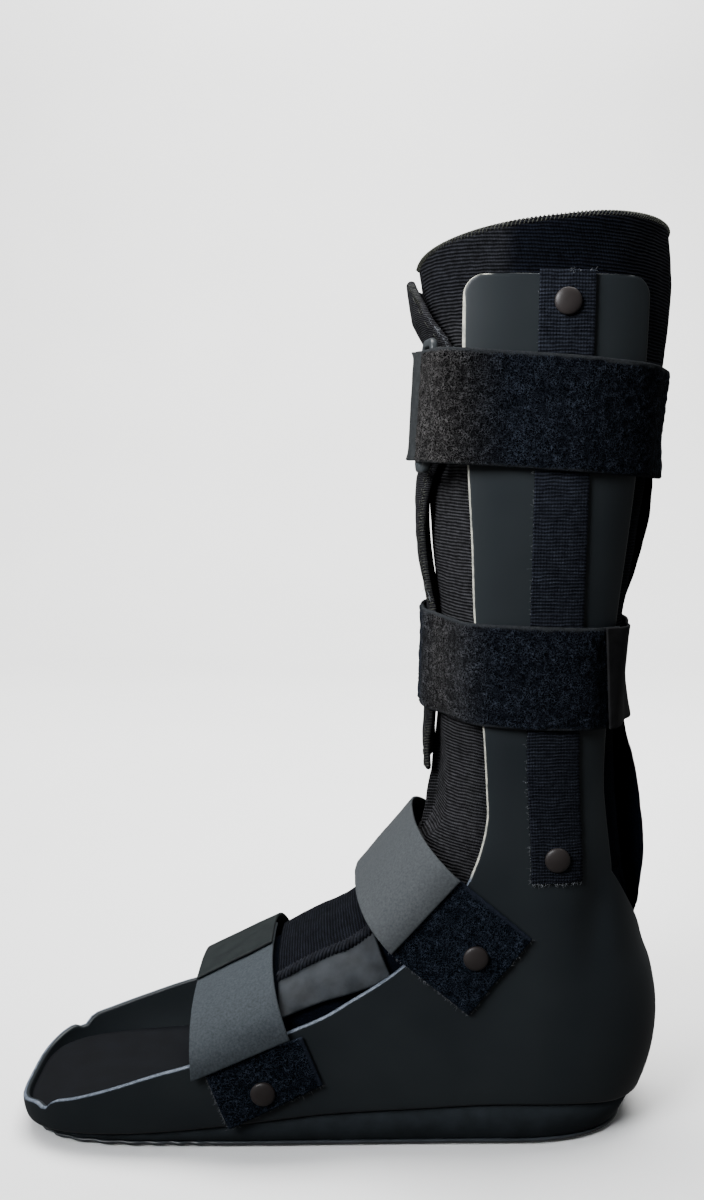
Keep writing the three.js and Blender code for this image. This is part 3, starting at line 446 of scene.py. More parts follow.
def piece(name, points, quads, material, uv=None, values=None):
    """Makes an object from points in millimetres and quads, turned to face outwards. A quad with a doubled
    corner becomes a triangle. uv gives each point's place on the cloth in millimetres, and values holds named
    lists with a number for each point."""
    points = np.asarray(points, float).reshape(-1, 3)
    if signed_volume(points, quads) < 0:
        quads = quads[:, ::-1]
    doubled = quads == np.roll(quads, -1, axis=1)
    folded = doubled.sum(1) == 1
    triangles = quads[folded][~doubled[folded]].reshape(-1, 3)
    mesh = bpy.data.meshes.new(name)
    mesh.from_pydata((points * MM).tolist(), [], triangles.tolist() + quads[~doubled.any(1)].tolist())
    mesh.polygons.foreach_set("use_smooth", np.ones(len(mesh.polygons), bool))
    if uv is not None:
        corner = np.empty(len(mesh.loops), np.int32)
        mesh.loops.foreach_get("vertex_index", corner)
        layer = mesh.uv_layers.new(name="cloth")
        layer.data.foreach_set("uv", np.asarray(uv, np.float32).reshape(-1, 2)[corner].ravel())
    for key, value in (values or {}).items():
        named = mesh.attributes.new(key, "FLOAT", "POINT")
        named.data.foreach_set("value", np.ravel(value).astype(np.float32))
    mesh.materials.append(material)
    made = bpy.data.objects.new(name, mesh)
    bpy.context.scene.collection.objects.link(made)
    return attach(made, "root")


def steps_between(points):
    """Distances along rows of points, from 0 at the first of each."""
    steps = np.linalg.norm(np.diff(points, axis=-2), axis=-1)
    return np.concatenate([np.zeros(steps.shape[:-1] + (1,)), np.cumsum(steps, -1)], -1)


def edge_distance(grid, closed=False):
    """How far each point of a grid lies from its open edges, in millimetres."""
    up = steps_between(grid.swapaxes(0, 1)).T
    away = np.minimum(up, up[-1] - up)
    if closed:
        return away
    along = steps_between(grid)
    return np.minimum(away, np.minimum(along, along[:, -1:] - along))


def rounded(outer, inner, distance, radius):
    """Draws a wall's two skins together near its edges, along a quarter circle of the given radius."""
    inward = np.clip(radius - distance, 0, radius)
    depth = radius - np.sqrt(radius**2 - inward**2)
    pull = (depth / np.linalg.norm(outer - inner, axis=-1))[..., None]
    return mix(outer, inner, pull), mix(inner, outer, pull)


def cloth_uv(grid):
    """Millimetres along each row of a grid, and up its middle column."""
    along = steps_between(grid)
    up = steps_between(grid[:, grid.shape[1] // 2])
    return np.stack([along, np.broadcast_to(up[:, None], along.shape)], -1)


def cloth(name, outer, inner, material, edge, closed=False, uv=None, values=None, raised=0.0):
    """A sheet over a grid of rows and columns, with rounded edges. raised lifts its outer skin's points."""
    distance = edge_distance(outer, closed)
    uv = cloth_uv(outer) if uv is None else uv
    lifted = outer + unit(outer - inner) * np.broadcast_to(raised, distance.shape)[..., None]
    outer, inner = rounded(lifted, inner, distance, edge)
    rows, columns = distance.shape
    faces = grid_faces(rows, columns, close_columns=closed)
    points, quads = wall(outer.reshape(-1, 3), inner.reshape(-1, 3), faces)
    values = {**(values or {}), "edge_mm": distance}
    doubled = {key: np.tile(np.ravel(value), 2) for key, value in values.items()}
    return piece(name, points, quads, material, uv=np.tile(uv.reshape(-1, 2), (2, 1)), values=doubled)


def tubes(name, paths, radius, material, across=None, sides=4, closed=False):
    """Round threads along many paths at once: a circle at each point, in the plane square to the path."""
    paths = np.asarray(paths, float)
    count, length = paths.shape[:2]
    ahead = np.roll(paths, -1, 1) - np.roll(paths, 1, 1) if closed else np.gradient(paths, axis=1)
    least = np.eye(3)[np.abs(unit(ahead)).mean((0, 1)).argmin()]
    one = unit(np.cross(ahead, least if across is None else across))
    two = unit(np.cross(ahead, one))
    turn = (np.arange(sides) * 2 * np.pi / sides)[:, None]
    size = np.broadcast_to(radius, (count, length))[..., None, None]
    points = paths[:, :, None] + size * (np.cos(turn) * one[:, :, None] + np.sin(turn) * two[:, :, None])
    quads = grid_faces(length, sides, close_rows=closed, close_columns=True)
    if not closed:
        fan = np.array([[0, k, k + 1, k + 2] for k in range(1, sides - 2, 2)])
        quads = np.concatenate([quads, fan[:, ::-1], fan + (length - 1) * sides])
    quads = (quads[None] + (np.arange(count) * length * sides)[:, None, None]).reshape(-1, 4)
    return piece(name, points, quads, material)


def hairs(name, roots, out, along, length, radius, material, seed):
    """Loose fibres from many roots: each leaves along its own direction and bends over by a random amount.
    They are drawn thicker than a real filament, which would be too thin to show."""
    draw = np.random.default_rng(seed)
    count = len(roots)
    share = np.linspace(0, 1, 6)
    steps = share[None, :, None]
    size = (length * draw.uniform(0.4, 1.0, count))[:, None, None]
    lean = unit(along + 0.55 * draw.normal(size=(count, 3)))[:, None]
    curl = draw.normal(size=(count, 3))[:, None] * 0.35
    lift = np.broadcast_to(unit(out), (count, 3))[:, None] * draw.uniform(0.05, 0.35, count)[:, None, None]
    paths = roots[:, None] + size * (steps * (lean + lift) + curl * steps**2)
    return tubes(name, paths, radius * (1 - 0.6 * share), material)


# Materials

def linear(code):
    """An sRGB hex colour as linear red, green, blue and alpha."""
    srgb = np.array([int(code[k:k + 2], 16) for k in (0, 2, 4)]) / 255
    rgb = np.where(srgb <= 0.04045, srgb / 12.92, ((srgb + 0.055) / 1.055) ** 2.4)
    return (*rgb, 1.0)


def node(tree, kind, inputs=None, **settings):
    """Adds a node with its settings. inputs are values, or sockets of other nodes to link."""
    made = tree.nodes.new("ShaderNode" + kind)
    for key, value in settings.items():
        setattr(made, key, value)
    for key, value in (inputs or {}).items():
        if isinstance(value, bpy.types.NodeSocket):
            tree.links.new(value, made.inputs[key])
        else:
            made.inputs[key].default_value = value
    return made


def math(tree, operation, a, b=0.0):
    return node(tree, "Math", {0: a, 1: b}, operation=operation).outputs[0]


def mottle(tree, size_mm, detail=3.0, seed=0.0):
    """Noise in object space whose features have the given size."""
    place = node(tree, "TexCoord").outputs["Object"]
    moved = node(tree, "VectorMath", {0: place, 1: (seed, seed, seed)}, operation="ADD").outputs[0]
    inputs = {"Vector": moved, "Scale": 1 / (size_mm * MM), "Detail": detail}
    return node(tree, "TexNoise", inputs).outputs["Fac"]


def attribute(tree, name):
    return node(tree, "Attribute", attribute_name=name).outputs["Fac"]


def remap(tree, value, low, high, start=0.0, end=1.0):
    inputs = {"Value": value, "From Min": low, "From Max": high, "To Min": start, "To Max": end}
    return node(tree, "MapRange", inputs).outputs[0]


def tint(tree, factor, dark, light, low=0.3, high=0.7):
    """A colour between two hex colours, by a factor between low and high."""
    ramp = node(tree, "ValToRGB", {"Fac": factor})
    for element, position, code in zip(ramp.color_ramp.elements, (low, high), (dark, light)):
        element.position = position
        element.color = linear(code)
    return ramp.outputs["Color"]


def blended(tree, factor, first, second):
    return node(tree, "Mix", {"Factor": factor, 6: first, 7: second}, data_type="RGBA").outputs[2]


def finish(name, colour, height, depth_mm, roughness, strength=1.0, shine=0.1):
    """A material with its shader. colour and height are functions that add their nodes to a tree. shine is
    the mirror reflection, 0.5 for bare plastic. Fibres and fine grain shade each other and keep less of it."""
    made = bpy.data.materials.new(name)
    made.use_nodes = True
    tree = made.node_tree
    shader = tree.nodes["Principled BSDF"]
    shader.inputs["Roughness"].default_value = roughness
    shader.inputs["Specular IOR Level"].default_value = shine
    tree.links.new(colour(tree), shader.inputs["Base Color"])
    inputs = {"Height": height(tree), "Distance": depth_mm * MM, "Strength": strength}
    tree.links.new(node(tree, "Bump", inputs).outputs["Normal"], shader.inputs["Normal"])
    return made


def shell_colour(tree):
    """A cloudy black whose cut edge is pale: a cream scrape up the front; on the foot, two blue-grey lines of
    painted highlight over the scrape, with a painted shade line between them.
    """
    body = tint(tree, mottle(tree, 50, 2), "1b1f22", "222628")
    edge = math(tree, "SUBTRACT", attribute(tree, "edge_mm"), math(tree, "MULTIPLY", mottle(tree, 5, 2), 0.5))
    away = math(tree, "SUBTRACT", attribute(tree, "scrape_and_highlight_mm"), edge)
    scraped_and_lit = remap(tree, away, 0.1, 0.45)
    # Painted shade: a dark line 0.95 mm in from the foot's edge, standing for the gap between two lit rims,
    # splits the pale band in two
    gap_shade_distance = math(tree, "ABSOLUTE", math(tree, "SUBTRACT", edge, 0.95))
    line = math(tree, "MULTIPLY", remap(tree, gap_shade_distance, 0.5, 0.25), attribute(tree, "foot_edge"))
    shown = math(tree, "MULTIPLY", scraped_and_lit, math(tree, "SUBTRACT", 1.0, math(tree, "MULTIPLY", line, 0.7)))
    cream = tint(tree, mottle(tree, 3, 2), "8b8c83", "c4c1b2")
    # Painted highlight: on the foot the pale edge is blue-grey, as a lit rim looks
    lit_blue_grey = tint(tree, mottle(tree, 3, 2), "3d444d", "5d6571")
    cut = blended(tree, attribute(tree, "foot_edge"), cream, lit_blue_grey)
    return blended(tree, shown, body, cut)


def plain(name, dark, light, roughness, grain_mm, depth_mm, cloud_mm=12, shine=0.1):
    """A moulded or woven surface with a faint cloudy tone and a fine grain."""
    def colour(tree):
        return tint(tree, mottle(tree, cloud_mm, 3), dark, light)

    def grain(tree):
        return mottle(tree, grain_mm, 2)

    return finish(name, colour, grain, depth_mm, roughness, 0.6, shine)


def rib_wave(tree, pitch):
    """A sine up the cloth's second coordinate, with a slight waver."""
    place = node(tree, "SeparateXYZ", {0: node(tree, "UVMap", uv_map="cloth").outputs["UV"]})
    up = math(tree, "ADD", place.outputs["Y"], math(tree, "MULTIPLY", mottle(tree, 9, 2), 1.3))
    wave = math(tree, "SINE", math(tree, "MULTIPLY", up, 2 * np.pi / pitch))
    stitch = math(tree, "SINE", math(tree, "MULTIPLY", place.outputs["X"], 2 * np.pi / (0.85 * pitch)))
    return wave, stitch


def ribbed(name, pitch, dark, light, second=None, share=None, depth_mm=0.3):
    """Knitted ribs that follow the cloth, with painted shade in their valleys and a painted highlight on their
    crests, broken by the yarn's own bumps. A second pair of colours takes over where the attribute named by
    share is 1."""
    def colour(tree):
        base = tint(tree, mottle(tree, 3, 4), dark, light)
        if second:
            base = blended(tree, attribute(tree, share), base, tint(tree, mottle(tree, 3, 4), *second))
        wave, stitch = rib_wave(tree, pitch)
        # Painted shade in the rib valleys and a painted highlight on the crests
        lit = math(tree, "ADD", remap(tree, wave, -1, 1, 0.25, 1.6), math(tree, "MULTIPLY", stitch, 0.12))
        return node(tree, "VectorMath", {0: base, "Scale": lit}, operation="SCALE").outputs[0]

    def height(tree):
        wave, stitch = rib_wave(tree, pitch)
        yarn = math(tree, "MULTIPLY", mottle(tree, 0.7, 3), 1.4)
        return math(tree, "ADD", math(tree, "ADD", wave, math(tree, "MULTIPLY", stitch, 0.3)), yarn)

    return finish(name, colour, height, depth_mm, 0.93, 0.9, shine=0.05)


def loop_pile(name, dark, light, selvedge="2a2c2e", second=None):
    """Brushed nylon loops: thin pale curls, where a noise crosses its middle value, over dark clumps, and a
    flat woven selvedge. The curls are painted highlights where loops catch the light, and they dim, as painted
    shade, where the pile sinks. A single filament is too fine to show, so the curls are drawn coarser than
    one. A second pair of colours takes over where the attribute warm is 1."""
    def curls(tree):
        across = math(tree, "ABSOLUTE", math(tree, "SUBTRACT", mottle(tree, 1.3, 2), 0.5))
        other = math(tree, "ABSOLUTE", math(tree, "SUBTRACT", mottle(tree, 0.95, 2, 0.7), 0.5))
        return math(tree, "MAXIMUM", remap(tree, across, 0.04, 0.0), remap(tree, other, 0.036, 0.0, 0, 0.8))

    def tone(tree):
        # The curls are painted highlights, dimmed as painted shade where the pile sinks
        lit = math(tree, "MULTIPLY", curls(tree), remap(tree, mottle(tree, 3.1, 2, 1.9), 0.35, 0.62, 0.5, 1))
        return math(tree, "MULTIPLY", lit, remap(tree, attribute(tree, "tips"), 0.1, 0.8, 0.35, 1.0))

    def colour(tree):
        amount = tone(tree)
        base = tint(tree, amount, dark, light, 0.0, 0.9)
        if second:
            base = blended(tree, attribute(tree, "warm"), base, tint(tree, amount, *second, 0.0, 0.9))
        worn = remap(tree, mottle(tree, 0.9, 3), 0.3, 0.6, 0.5, 1)
        woven = math(tree, "MULTIPLY", attribute(tree, "selvedge"), worn)
        return blended(tree, woven, base, linear(selvedge))

    return finish(name, colour, tone, 0.5, 0.97, 0.8, shine=0.03)


# Satin and slightly wavy, so that soft lights spread on it
shell_plastic = finish(
    "polypropylene_vacuum_formed", shell_colour, lambda tree: mottle(tree, 1.1, 2), 0.03, 0.42, 0.5, shine=0.2
)
# Even and nearly matt
insole_foam = plain("eva_foam_sheet_die_cut", "030407", "06080c", 0.62, 0.8, 0.05)
# Matt, with a fine skin
block_foam = plain("eva_foam_block_moulded", "1e2225", "272c30", 0.7, 0.9, 0.08)
# Smoother and glossier than the foam above it
outsole_rubber = plain("rubber_sheet_moulded", "24282b", "303438", 0.3, 1.2, 0.05, shine=0.4)
# Smooth and grey
ring_plastic = plain("nylon_injection_moulded", "26292b", "323638", 0.4, 0.7, 0.02, shine=0.3)
# Warm, with a soft shine
rivet_metal = plain("steel_rivet_painted", "1f1b1a", "282423", 0.42, 0.9, 0.03, shine=0.25)
# A sponge-like rib, dark grey in front, navy at the back and towards the rim
liner_knit = ribbed(
    "polyester_rib_knit_on_foam", liner_rib, "1b1b1c", "2d2d2f", second=("030408", "0b0e15"), share="navy"
)
# Finer ribs, a little darker
flap_knit = ribbed("polyester_fine_knit", 0.95, "18181a", "272729", depth_mm=0.18)
# The liner's brushed lower part
liner_pile = loop_pile("nylon_loop_knit_on_foam", "04060b", "1a2130")
# A soft sheen
smooth_fabric = plain("nylon_tricot_laminated", "15181b", "262a2e", 0.7, 1.6, 0.12, cloud_mm=7, shine=0.2)
# Sparse curls of painted highlight over near black
strap_pile = loop_pile("nylon_loop_pile_brushed", "010204", "3b424e", second=("040404", "62605f"))
# Navy with a woven edge
patch_pile = loop_pile("nylon_loop_pile_patch", "010306", "404958", selvedge="1f232c")
# Like fine sandpaper
hook_tab = plain("nylon_hook_tape_moulded", "333638", "3f4244", 0.75, 0.75, 0.2, cloud_mm=1.1)
# The same, but a little darker
dull_tab = plain("nylon_hook_tape_dulled", "2a2e31", "363b3f", 0.75, 0.75, 0.2, cloud_mm=1.1)
# Nearly black, with a shallower grain
warm_tab = plain("nylon_hook_tape_woven_back", "131314", "1c1c1d", 0.75, 0.9, 0.12, cloud_mm=5)
# Dark, with a dull grain
loop_tab = plain("nylon_hook_tape_looped", "1c1e1f", "27292a", 0.75, 0.8, 0.15, cloud_mm=2)
# Greenish grey, smooth
far_fabric = plain("nylon_tape_laminated", "16191a", "1e2222", 0.6, 1.5, 0.08, cloud_mm=8)
# Hard narrow ribs
strip_tape = ribbed("nylon_webbing_ribbed", strip_rib, "14161c", "21242b", depth_mm=0.35)
# A dull olive grey
olive_thread = plain("polyester_overlock_thread", "1c1d1a", "4a4b44", 0.85, 0.5, 0.1, cloud_mm=1.3)
# Pale loose fibres
grey_thread = plain("polyester_sewing_thread", "3a3c3f", "6f7276", 0.8, 0.5, 0.1, cloud_mm=2)
# Thick and dark
seam_thread = plain("polyester_seam_thread", "0a0b0f", "1a1c22", 0.85, 0.6, 0.15, cloud_mm=2)


# The shell

def shell_lower(depth):
    """The shell below the foot of its uprights: a rounded edge at the sole, then up the wall to its rim."""
    column = np.arange(last_column + 1.0)[None]
    turn = np.radians(np.linspace(0, 90, edge_rows))[:, None]
    floor_z = block_height(outline(column, 0, 0)[0])
    start = floor_z + depth[:edge_rows] + shell_edge * (1 - np.cos(turn))
    rim = rim_z(column)
    rise = np.linspace(0, 1, wall_rows + 1)[1:, None]
    body = mix(floor_z + depth[edge_rows:-rim_rows] + shell_edge, rim - rim_steps[0], rise)
    z = np.concatenate([start, body, rim - rim_steps[1:, None]])
    inset = depth + np.concatenate([shell_edge * (1 - np.sin(turn)), np.zeros((wall_rows + rim_rows, 1))])
    x, y = outline(column, z, inset)
    return np.stack([x, y, z], -1)


corner_turns = np.radians(np.linspace(0, 90, 14))[1:]
upright_top_foot = upright_top - upright_corner
upright_rows = 61
straight_z = np.linspace(split_z, upright_top_foot, upright_rows + 1)[1:]
upright_z = np.concatenate([straight_z, upright_top_foot + upright_corner * np.sin(corner_turns)])
upright_draw = np.concatenate([np.zeros(upright_rows), upright_corner * (1 - np.cos(corner_turns))])


def shell_upper(depth):
    """An upright: rows up to its rounded top corners, columns from its front edge to its back edge."""
    z, draw = upright_z[:, None], upright_draw[:, None]
    x = mix(edge_x(z, "front") + draw, edge_x(z, "back") - draw, upright_share[None])
    return np.stack([x, half_width(x, z, depth), np.broadcast_to(z, x.shape)], -1)


def shell_skin(depth_low, depth_high):
    """Both sides of a skin of the shell, as one list of points."""
    points = np.concatenate([shell_lower(depth_low).reshape(-1, 3), shell_upper(depth_high).reshape(-1, 3)])
    return np.concatenate([points * [1, -1, 1], points]) + 0.0


def shell_quads():
    """The quads of the shell: its wall, its uprights on the wall's last row, and strips across its sole."""
    rows, columns = lower_rows, last_column + 1
    low = grid_faces(rows, columns)
    ids = np.arange(len(upright_z) * len(upright_share)).reshape(len(upright_z), -1) + rows * columns
    joint = (rows - 1) * columns + np.arange(upright_start, upright_end + 1)
    ids = np.concatenate([joint[None], ids])
    high = np.stack([ids[:-1, :-1], ids[:-1, 1:], ids[1:, 1:], ids[1:, :-1]], -1).reshape(-1, 4)
    near = np.concatenate([low, high])
    count = rows * columns + len(upright_z) * len(upright_share)
    c = np.arange(last_column)
    across = np.stack([c + count, c + 1 + count, c + 1, c], 1)
    return np.concatenate([near, near[:, ::-1] + count, across])


def make_shell():
    low_shape, high_shape = (lower_rows, last_column + 1), (len(upright_z), len(upright_share))
    flat = shell_skin(np.zeros(low_shape), np.zeros(high_shape))
    through = shell_skin(np.full(low_shape, shell_wall), np.full(high_shape, shell_wall))
    paired = np.round(np.hstack([flat, through]), 4)
    _, first, back = np.unique(paired, axis=0, return_index=True, return_inverse=True)
    outer, inner = flat[first], through[first]
    quads = back.reshape(-1)[shell_quads()]
    rim = outer[np.unique(open_edges(len(outer), quads))]
    # In parts, so that the table of distances stays small
    gaps = [np.linalg.norm(block[:, None] - rim[None], axis=-1) for block in np.array_split(outer, 40)]
    distance = np.concatenate([g.min(1) for g in gaps])
    nearest = rim[np.concatenate([g.argmin(1) for g in gaps])]
    x, z = nearest[:, 0], nearest[:, 2]
    on_front = (z > split_z) & (x < centre_x - 10)
    foot_edge = (x < upright_foot_x + 1) & (z <= split_z)
    # The scrape is wider near the top of the front edge, and narrows again at the corner
    high = ease((z - 0.86 * upright_top) / (0.06 * upright_top)) - 1.2 * ease((z - 0.965 * upright_top) / 9)
    # On the foot the pale band is a scrape that also carries a painted highlight
    scrape_and_highlight_width = np.select([foot_edge, on_front], [foot_scrape_and_highlight, front_trim * (1 + high)], no_trim)
    outer, inner = rounded(outer, inner, distance, edge_round)
    points, quads = wall(outer, inner, quads)
    # The knife scrapes the outer corner of the edge, and the painted highlight and shade lie there too, so the
    # inner skin has none of them
    values = {
        "edge_mm": np.tile(np.minimum(distance, 6), 2), "scrape_and_highlight_mm": np.concatenate([scrape_and_highlight_width, 0 * scrape_and_highlight_width - 1]),
        "foot_edge": np.tile(foot_edge, 2),
    }
    made = piece("shell_moulding", points, quads, shell_plastic, values=values)
    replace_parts(made, "shell")


make_shell()


# The sole

def slab(name, node_name, profile, material, beads=0.0):
    """A flat piece of the sole. Each row of its profile gives a height along the boot and an inset from the
    shell's outline, from its top round its edge to its bottom. Strips across close the top and the bottom.
    beads draws in the columns of its outer edge."""
    column = np.arange(last_column + 1.0)
    along = outline(column, 0, 0)[0]
    rows = []
    for height, inset in profile:
        z = np.broadcast_to(height(along), along.shape)
        x, y = outline(column, z, inset + beads * (inset < outsole_inset))
        rows.append(np.concatenate([np.stack([x, -y, z], 1), np.stack([x, y, z], 1)[-2:0:-1]]))
    count = 2 * last_column
    a = np.arange(last_column)
    cap = np.stack([a, a + 1, (count - a - 1) % count, (count - a) % count], 1)
    side = grid_faces(len(rows), count, close_columns=True)
    quads = np.concatenate([side[:, ::-1], cap, cap[:, ::-1] + (len(rows) - 1) * count])
    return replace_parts(piece(name, np.concatenate(rows), quads, material), node_name)


def flat_at(z):
    """A height that is the same all along the boot."""
    return lambda x: z + 0 * x


def insole_top(x):
    return block_height(x) + shell_wall + gap + insole_thickness


def insole_bottom(x):
    return insole_top(x) - insole_thickness


def block_roof(x):
    return block_height(x) - gap


# Rows of each piece of the sole: its height, and how far it is in from the shell's outline
insole_inset, insole_round = shell_wall + gap, 1.4
edge_down = [(1 - np.cos(t), 1 - np.sin(t)) for t in np.radians(np.linspace(0, 90, 6))]
insole_rows = [(insole_top, insole_inset + 8), (insole_top, insole_inset + 3)]
insole_rows += [
    (lambda x, d=down: insole_top(x) - insole_round * d, insole_inset + insole_round * inward)
    for down, inward in edge_down
]
insole_rows += [(insole_bottom, insole_inset + shell_edge), (insole_bottom, insole_inset + 6)]
slab("insole_sheet", "insole", insole_rows, insole_foam)

block_floor = outsole_thickness + gap
block_rows = [
    (block_roof, 8), (block_roof, shell_edge + 0.8), (lambda x: block_roof(x) - 0.7, shell_edge),
    (flat_at(block_floor + 0.5), shell_edge), (flat_at(block_floor), shell_edge + 0.6),
    (flat_at(block_floor), 8),
]
slab("rocker_block", "sole_block", block_rows, block_foam)

outsole_profile = [
    (outsole_thickness, 9), (outsole_thickness, 2.2), (outsole_thickness - 0.4, 1.3),
    (outsole_thickness - 1.2, 1.0), (1.4, 1.6), (0.5, 2.7), (0, outsole_inset), (0, 10),
]
outsole_rows = [(flat_at(z), inward) for z, inward in outsole_profile]
toe_row = np.arange(last_column + 1)
toe_beads = 0.9 * (toe_row % 4 < 2) * ease((toe_columns + 12 - toe_row) / 14)
slab("outsole_sheet", "outsole", outsole_rows, outsole_rubber, beads=toe_beads)


# The liner

def shell_limit(x, y, z):
    """How wide the liner may be inside the shell, easing out where it stands past the shell's edges."""
    across = np.clip(np.abs(y) / half_width(edge_x(split_z, "back"), split_z), 0, 1)
    cup = mix(cup_top, split_z, across**cup_power)
    past_back = np.where(z > split_z, x - edge_x(z, "back"), np.minimum(x - edge_x(split_z, "back"), z - cup))
    past = np.maximum(past_back, z - upright_top)
    return half_width(x, z, shell_wall + lay) + np.maximum(0, past - 2.5)


def liner_point(at, angle, grow):
    """A point of the liner, for a place along its sections and an angle from its front round the near side.
    Each section is a superellipse between a front and a back point. grow moves it outwards, or inwards if
    it is negative."""
    at, angle, grow = np.broadcast_arrays(*(np.asarray(v, float) for v in (at, angle, grow)))
    front_x, back_x = (read(liner_sections, name, at) * half_length for name in ("front_x", "back_x"))
    front_z, back_z = (read(liner_sections, name, at) * upright_top for name in ("front_z", "back_z"))
    rim = ease((at - liner_rim_at + 2) / 2)
    back_z = np.maximum(back_z, block_height(back_x) + shell_wall + insole_thickness + gap + lay)
    front_z = front_z + rim * liner_rise
    back_z = back_z + rim * (liner_rise + liner_slope)
    length = np.hypot(back_x - front_x, back_z - front_z)
    along_x, along_z = (back_x - front_x) / length, (back_z - front_z) / length
    middle = 0.52 * length
    side = half_width(front_x + along_x * middle, front_z + along_z * middle, shell_wall + lay)
    facing = np.cos(angle) > 0
    power = np.where(facing, calf_power, read(liner_sections, "square", at))
    reach = np.where(facing, -(middle + grow), length - middle + grow)
    run = middle + reach * np.abs(np.cos(angle)) ** (2 / power)
    wide = np.abs(np.sin(angle)) ** (2 / power)
    x = front_x + along_x * run
    z = front_z + along_z * run + rim * liner_arch * wide
    full = side * wide
    pressed = np.where(grow > 0, full, np.minimum(full, shell_limit(x, full, z)))
    share = np.where(full > 0, pressed / np.maximum(full, 1e-9), 1)
    return np.stack([x, -np.sign(np.sin(angle)) * (side + grow) * wide * share, z], -1)


def make_liner():
    """The foam bootie: its skin puckers softly where no shell presses on it."""
    rim = np.array([3.5, 2.4, 1.4, 0.6, 0.15, 0.0])
    # One section for about every 15 mm of the liner
    per_mm = 1 / 15.0
    body = np.linspace(4.0 * per_mm, liner_rim_at - 4.0 * per_mm, 214)
    at = np.concatenate([rim[::-1] * per_mm, body, liner_rim_at - rim * per_mm])[:, None]
    angle = np.linspace(0, 2 * np.pi, 150, endpoint=False)[None]
    outer, inner = liner_point(at, angle, 0), liner_point(at, angle, -liner_wall)
    raised = 0.5 * noise(outer, 14) + 0.3 * noise(outer, 6, 3) - 0.9
    high = outer[..., 2]
    uv = np.stack([steps_between(outer), high + 0.06 * outer[..., 0]], -1)
    navy_x, navy_z = 62, 385
    behind, above = ease((outer[..., 0] - navy_x) / 18), ease((high - navy_z) / 35)
    values = {"navy": np.maximum(behind, 0.6 * above)}
    made = cloth(
        "liner_bootie", outer, inner, liner_knit, 3.5, closed=True, uv=uv, values=values, raised=raised
    )
    made.data.materials.append(liner_pile)
    centre = np.empty(3 * len(made.data.polygons))
    made.data.polygons.foreach_get("center", centre)
    x, _, z = centre.reshape(-1, 3).T / MM
    # Brushed pile at the heel, below a slanting line, and all over the foot
    heel_x, heel_z, foot_z = 112, 196, 100
    brushed = (z < heel_z + 0.25 * (x - 130)) & (x > heel_x) | (z < foot_z)
    made.data.polygons.foreach_set("material_index", brushed.astype(np.int32))
    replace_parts(made, "liner")


make_liner()


def overlock(
    name, path, out, over, half_out, half_over, sink, pitch, slant, size, material, closed=False, per_turn=10
):
    """A thread that winds round an edge. The path runs along the edge, out points off the cloth's face and
    over points past the edge. Each turn is an ellipse that is sunk below the edge and leans along it."""
    run = steps_between(np.concatenate([path, path[:1]]) if closed else path)
    turns = max(3, round(run[-1] / pitch))
    count = turns * per_turn
    at = np.linspace(0, run[-1], count, endpoint=not closed)
    phase = np.linspace(0, 2 * np.pi * turns, count, endpoint=not closed)
    rise = half_over * np.sin(phase) - sink
    lean = at + slant * rise
    rows = [np.concatenate([v, v[:1]]) if closed else v for v in (path, out, over)]
    inside = np.mod(lean, run[-1]) if closed else np.clip(lean, 0, run[-1])
    p, o, u = (np.stack([np.interp(inside, run, v[:, k]) for k in range(3)], 1) for v in rows)
    thread_path = p + unit(o) * (half_out * np.cos(phase))[:, None] + unit(u) * rise[:, None]
    along = np.gradient(p, axis=0)
    across = unit(np.where(np.linalg.norm(along, axis=1, keepdims=True) < 1e-6, np.cross(o, u), along))
    return tubes(name, thread_path[None], size, material, across=across[None], closed=closed)


def liner_rim_thread():
    angle = np.linspace(0, 2 * np.pi, 240, endpoint=False)
    outer, inner = liner_point(liner_rim_at, angle, -0.6), liner_point(liner_rim_at, angle, -liner_wall)
    below = liner_point(liner_rim_at - 0.2, angle, -liner_wall / 2)
    middle = (outer + inner) / 2
    return overlock(
        "rim_overlock", middle, outer - inner, middle - below, liner_wall / 2 + 0.1, 1.5, 1.3,
        serge_pitch, 0.5, thread, olive_thread, closed=True,
    )


liner_rim_thread()


def liner_sheet(name, ats, angles, thickness, material, raised, edge, uv=None, values=None):
    """A sheet that lies on the liner, over a grid of places along it and angles round it."""
    outer = liner_point(ats, np.radians(angles), lay + thickness)
    inner = liner_point(ats, np.radians(angles), lay)
    lift = raised(outer)
    return cloth(name, outer, inner, material, edge, uv=uv, values=values, raised=lift)


seam_angle = 37.0


def make_tongue():
    """The ribbed knit over the instep, from the seam over the top to the far side."""
    at = mix(2, 4.5, shares(60, 1.4, 1.2))[:, None]
    angle = mix(seam_angle - 1, -60, shares(90, 1.4, 1.2))[None]
    navy = np.full((at.size, angle.size), 0.9)

    def puckers(p):
        return 0.35 * noise(p, 9) + 0.2 * noise(p, 4)

    made = liner_sheet(
        "instep_tongue", at, angle, tongue_thickness, liner_knit, puckers, 1.3, values={"navy": navy}
    )
    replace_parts(made, "tongue")


def make_instep_flap():
    """The smooth flap below the seam: soft folds run along it, and its lower edge is straight."""
    at = mix(2, 4.5, shares(60, 1.0, 1.0))[:, None]
    angle = mix(seam_angle + 2, 70, shares(34, 0.8, 1.0))[None]
    share = (angle - seam_angle - 2) / (68 - seam_angle)

    def folds(p):
        run = p[..., 0] * 0.75 + p[..., 2] * 0.66
        wave = np.sin(run / 4.1 + 1.6 * share + 1.2 * noise(p, 13)) + 0.5 * np.sin(run / 2.3 - 2.2 * share)
        return 0.75 * wave * (0.35 + 0.65 * share) + 0.25 * noise(p, 5)

    made = liner_sheet("smooth_instep_flap", at, angle, instep_flap_thickness, smooth_fabric, folds, 1.0)
    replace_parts(made, "instep_flap")


make_tongue()
make_instep_flap()


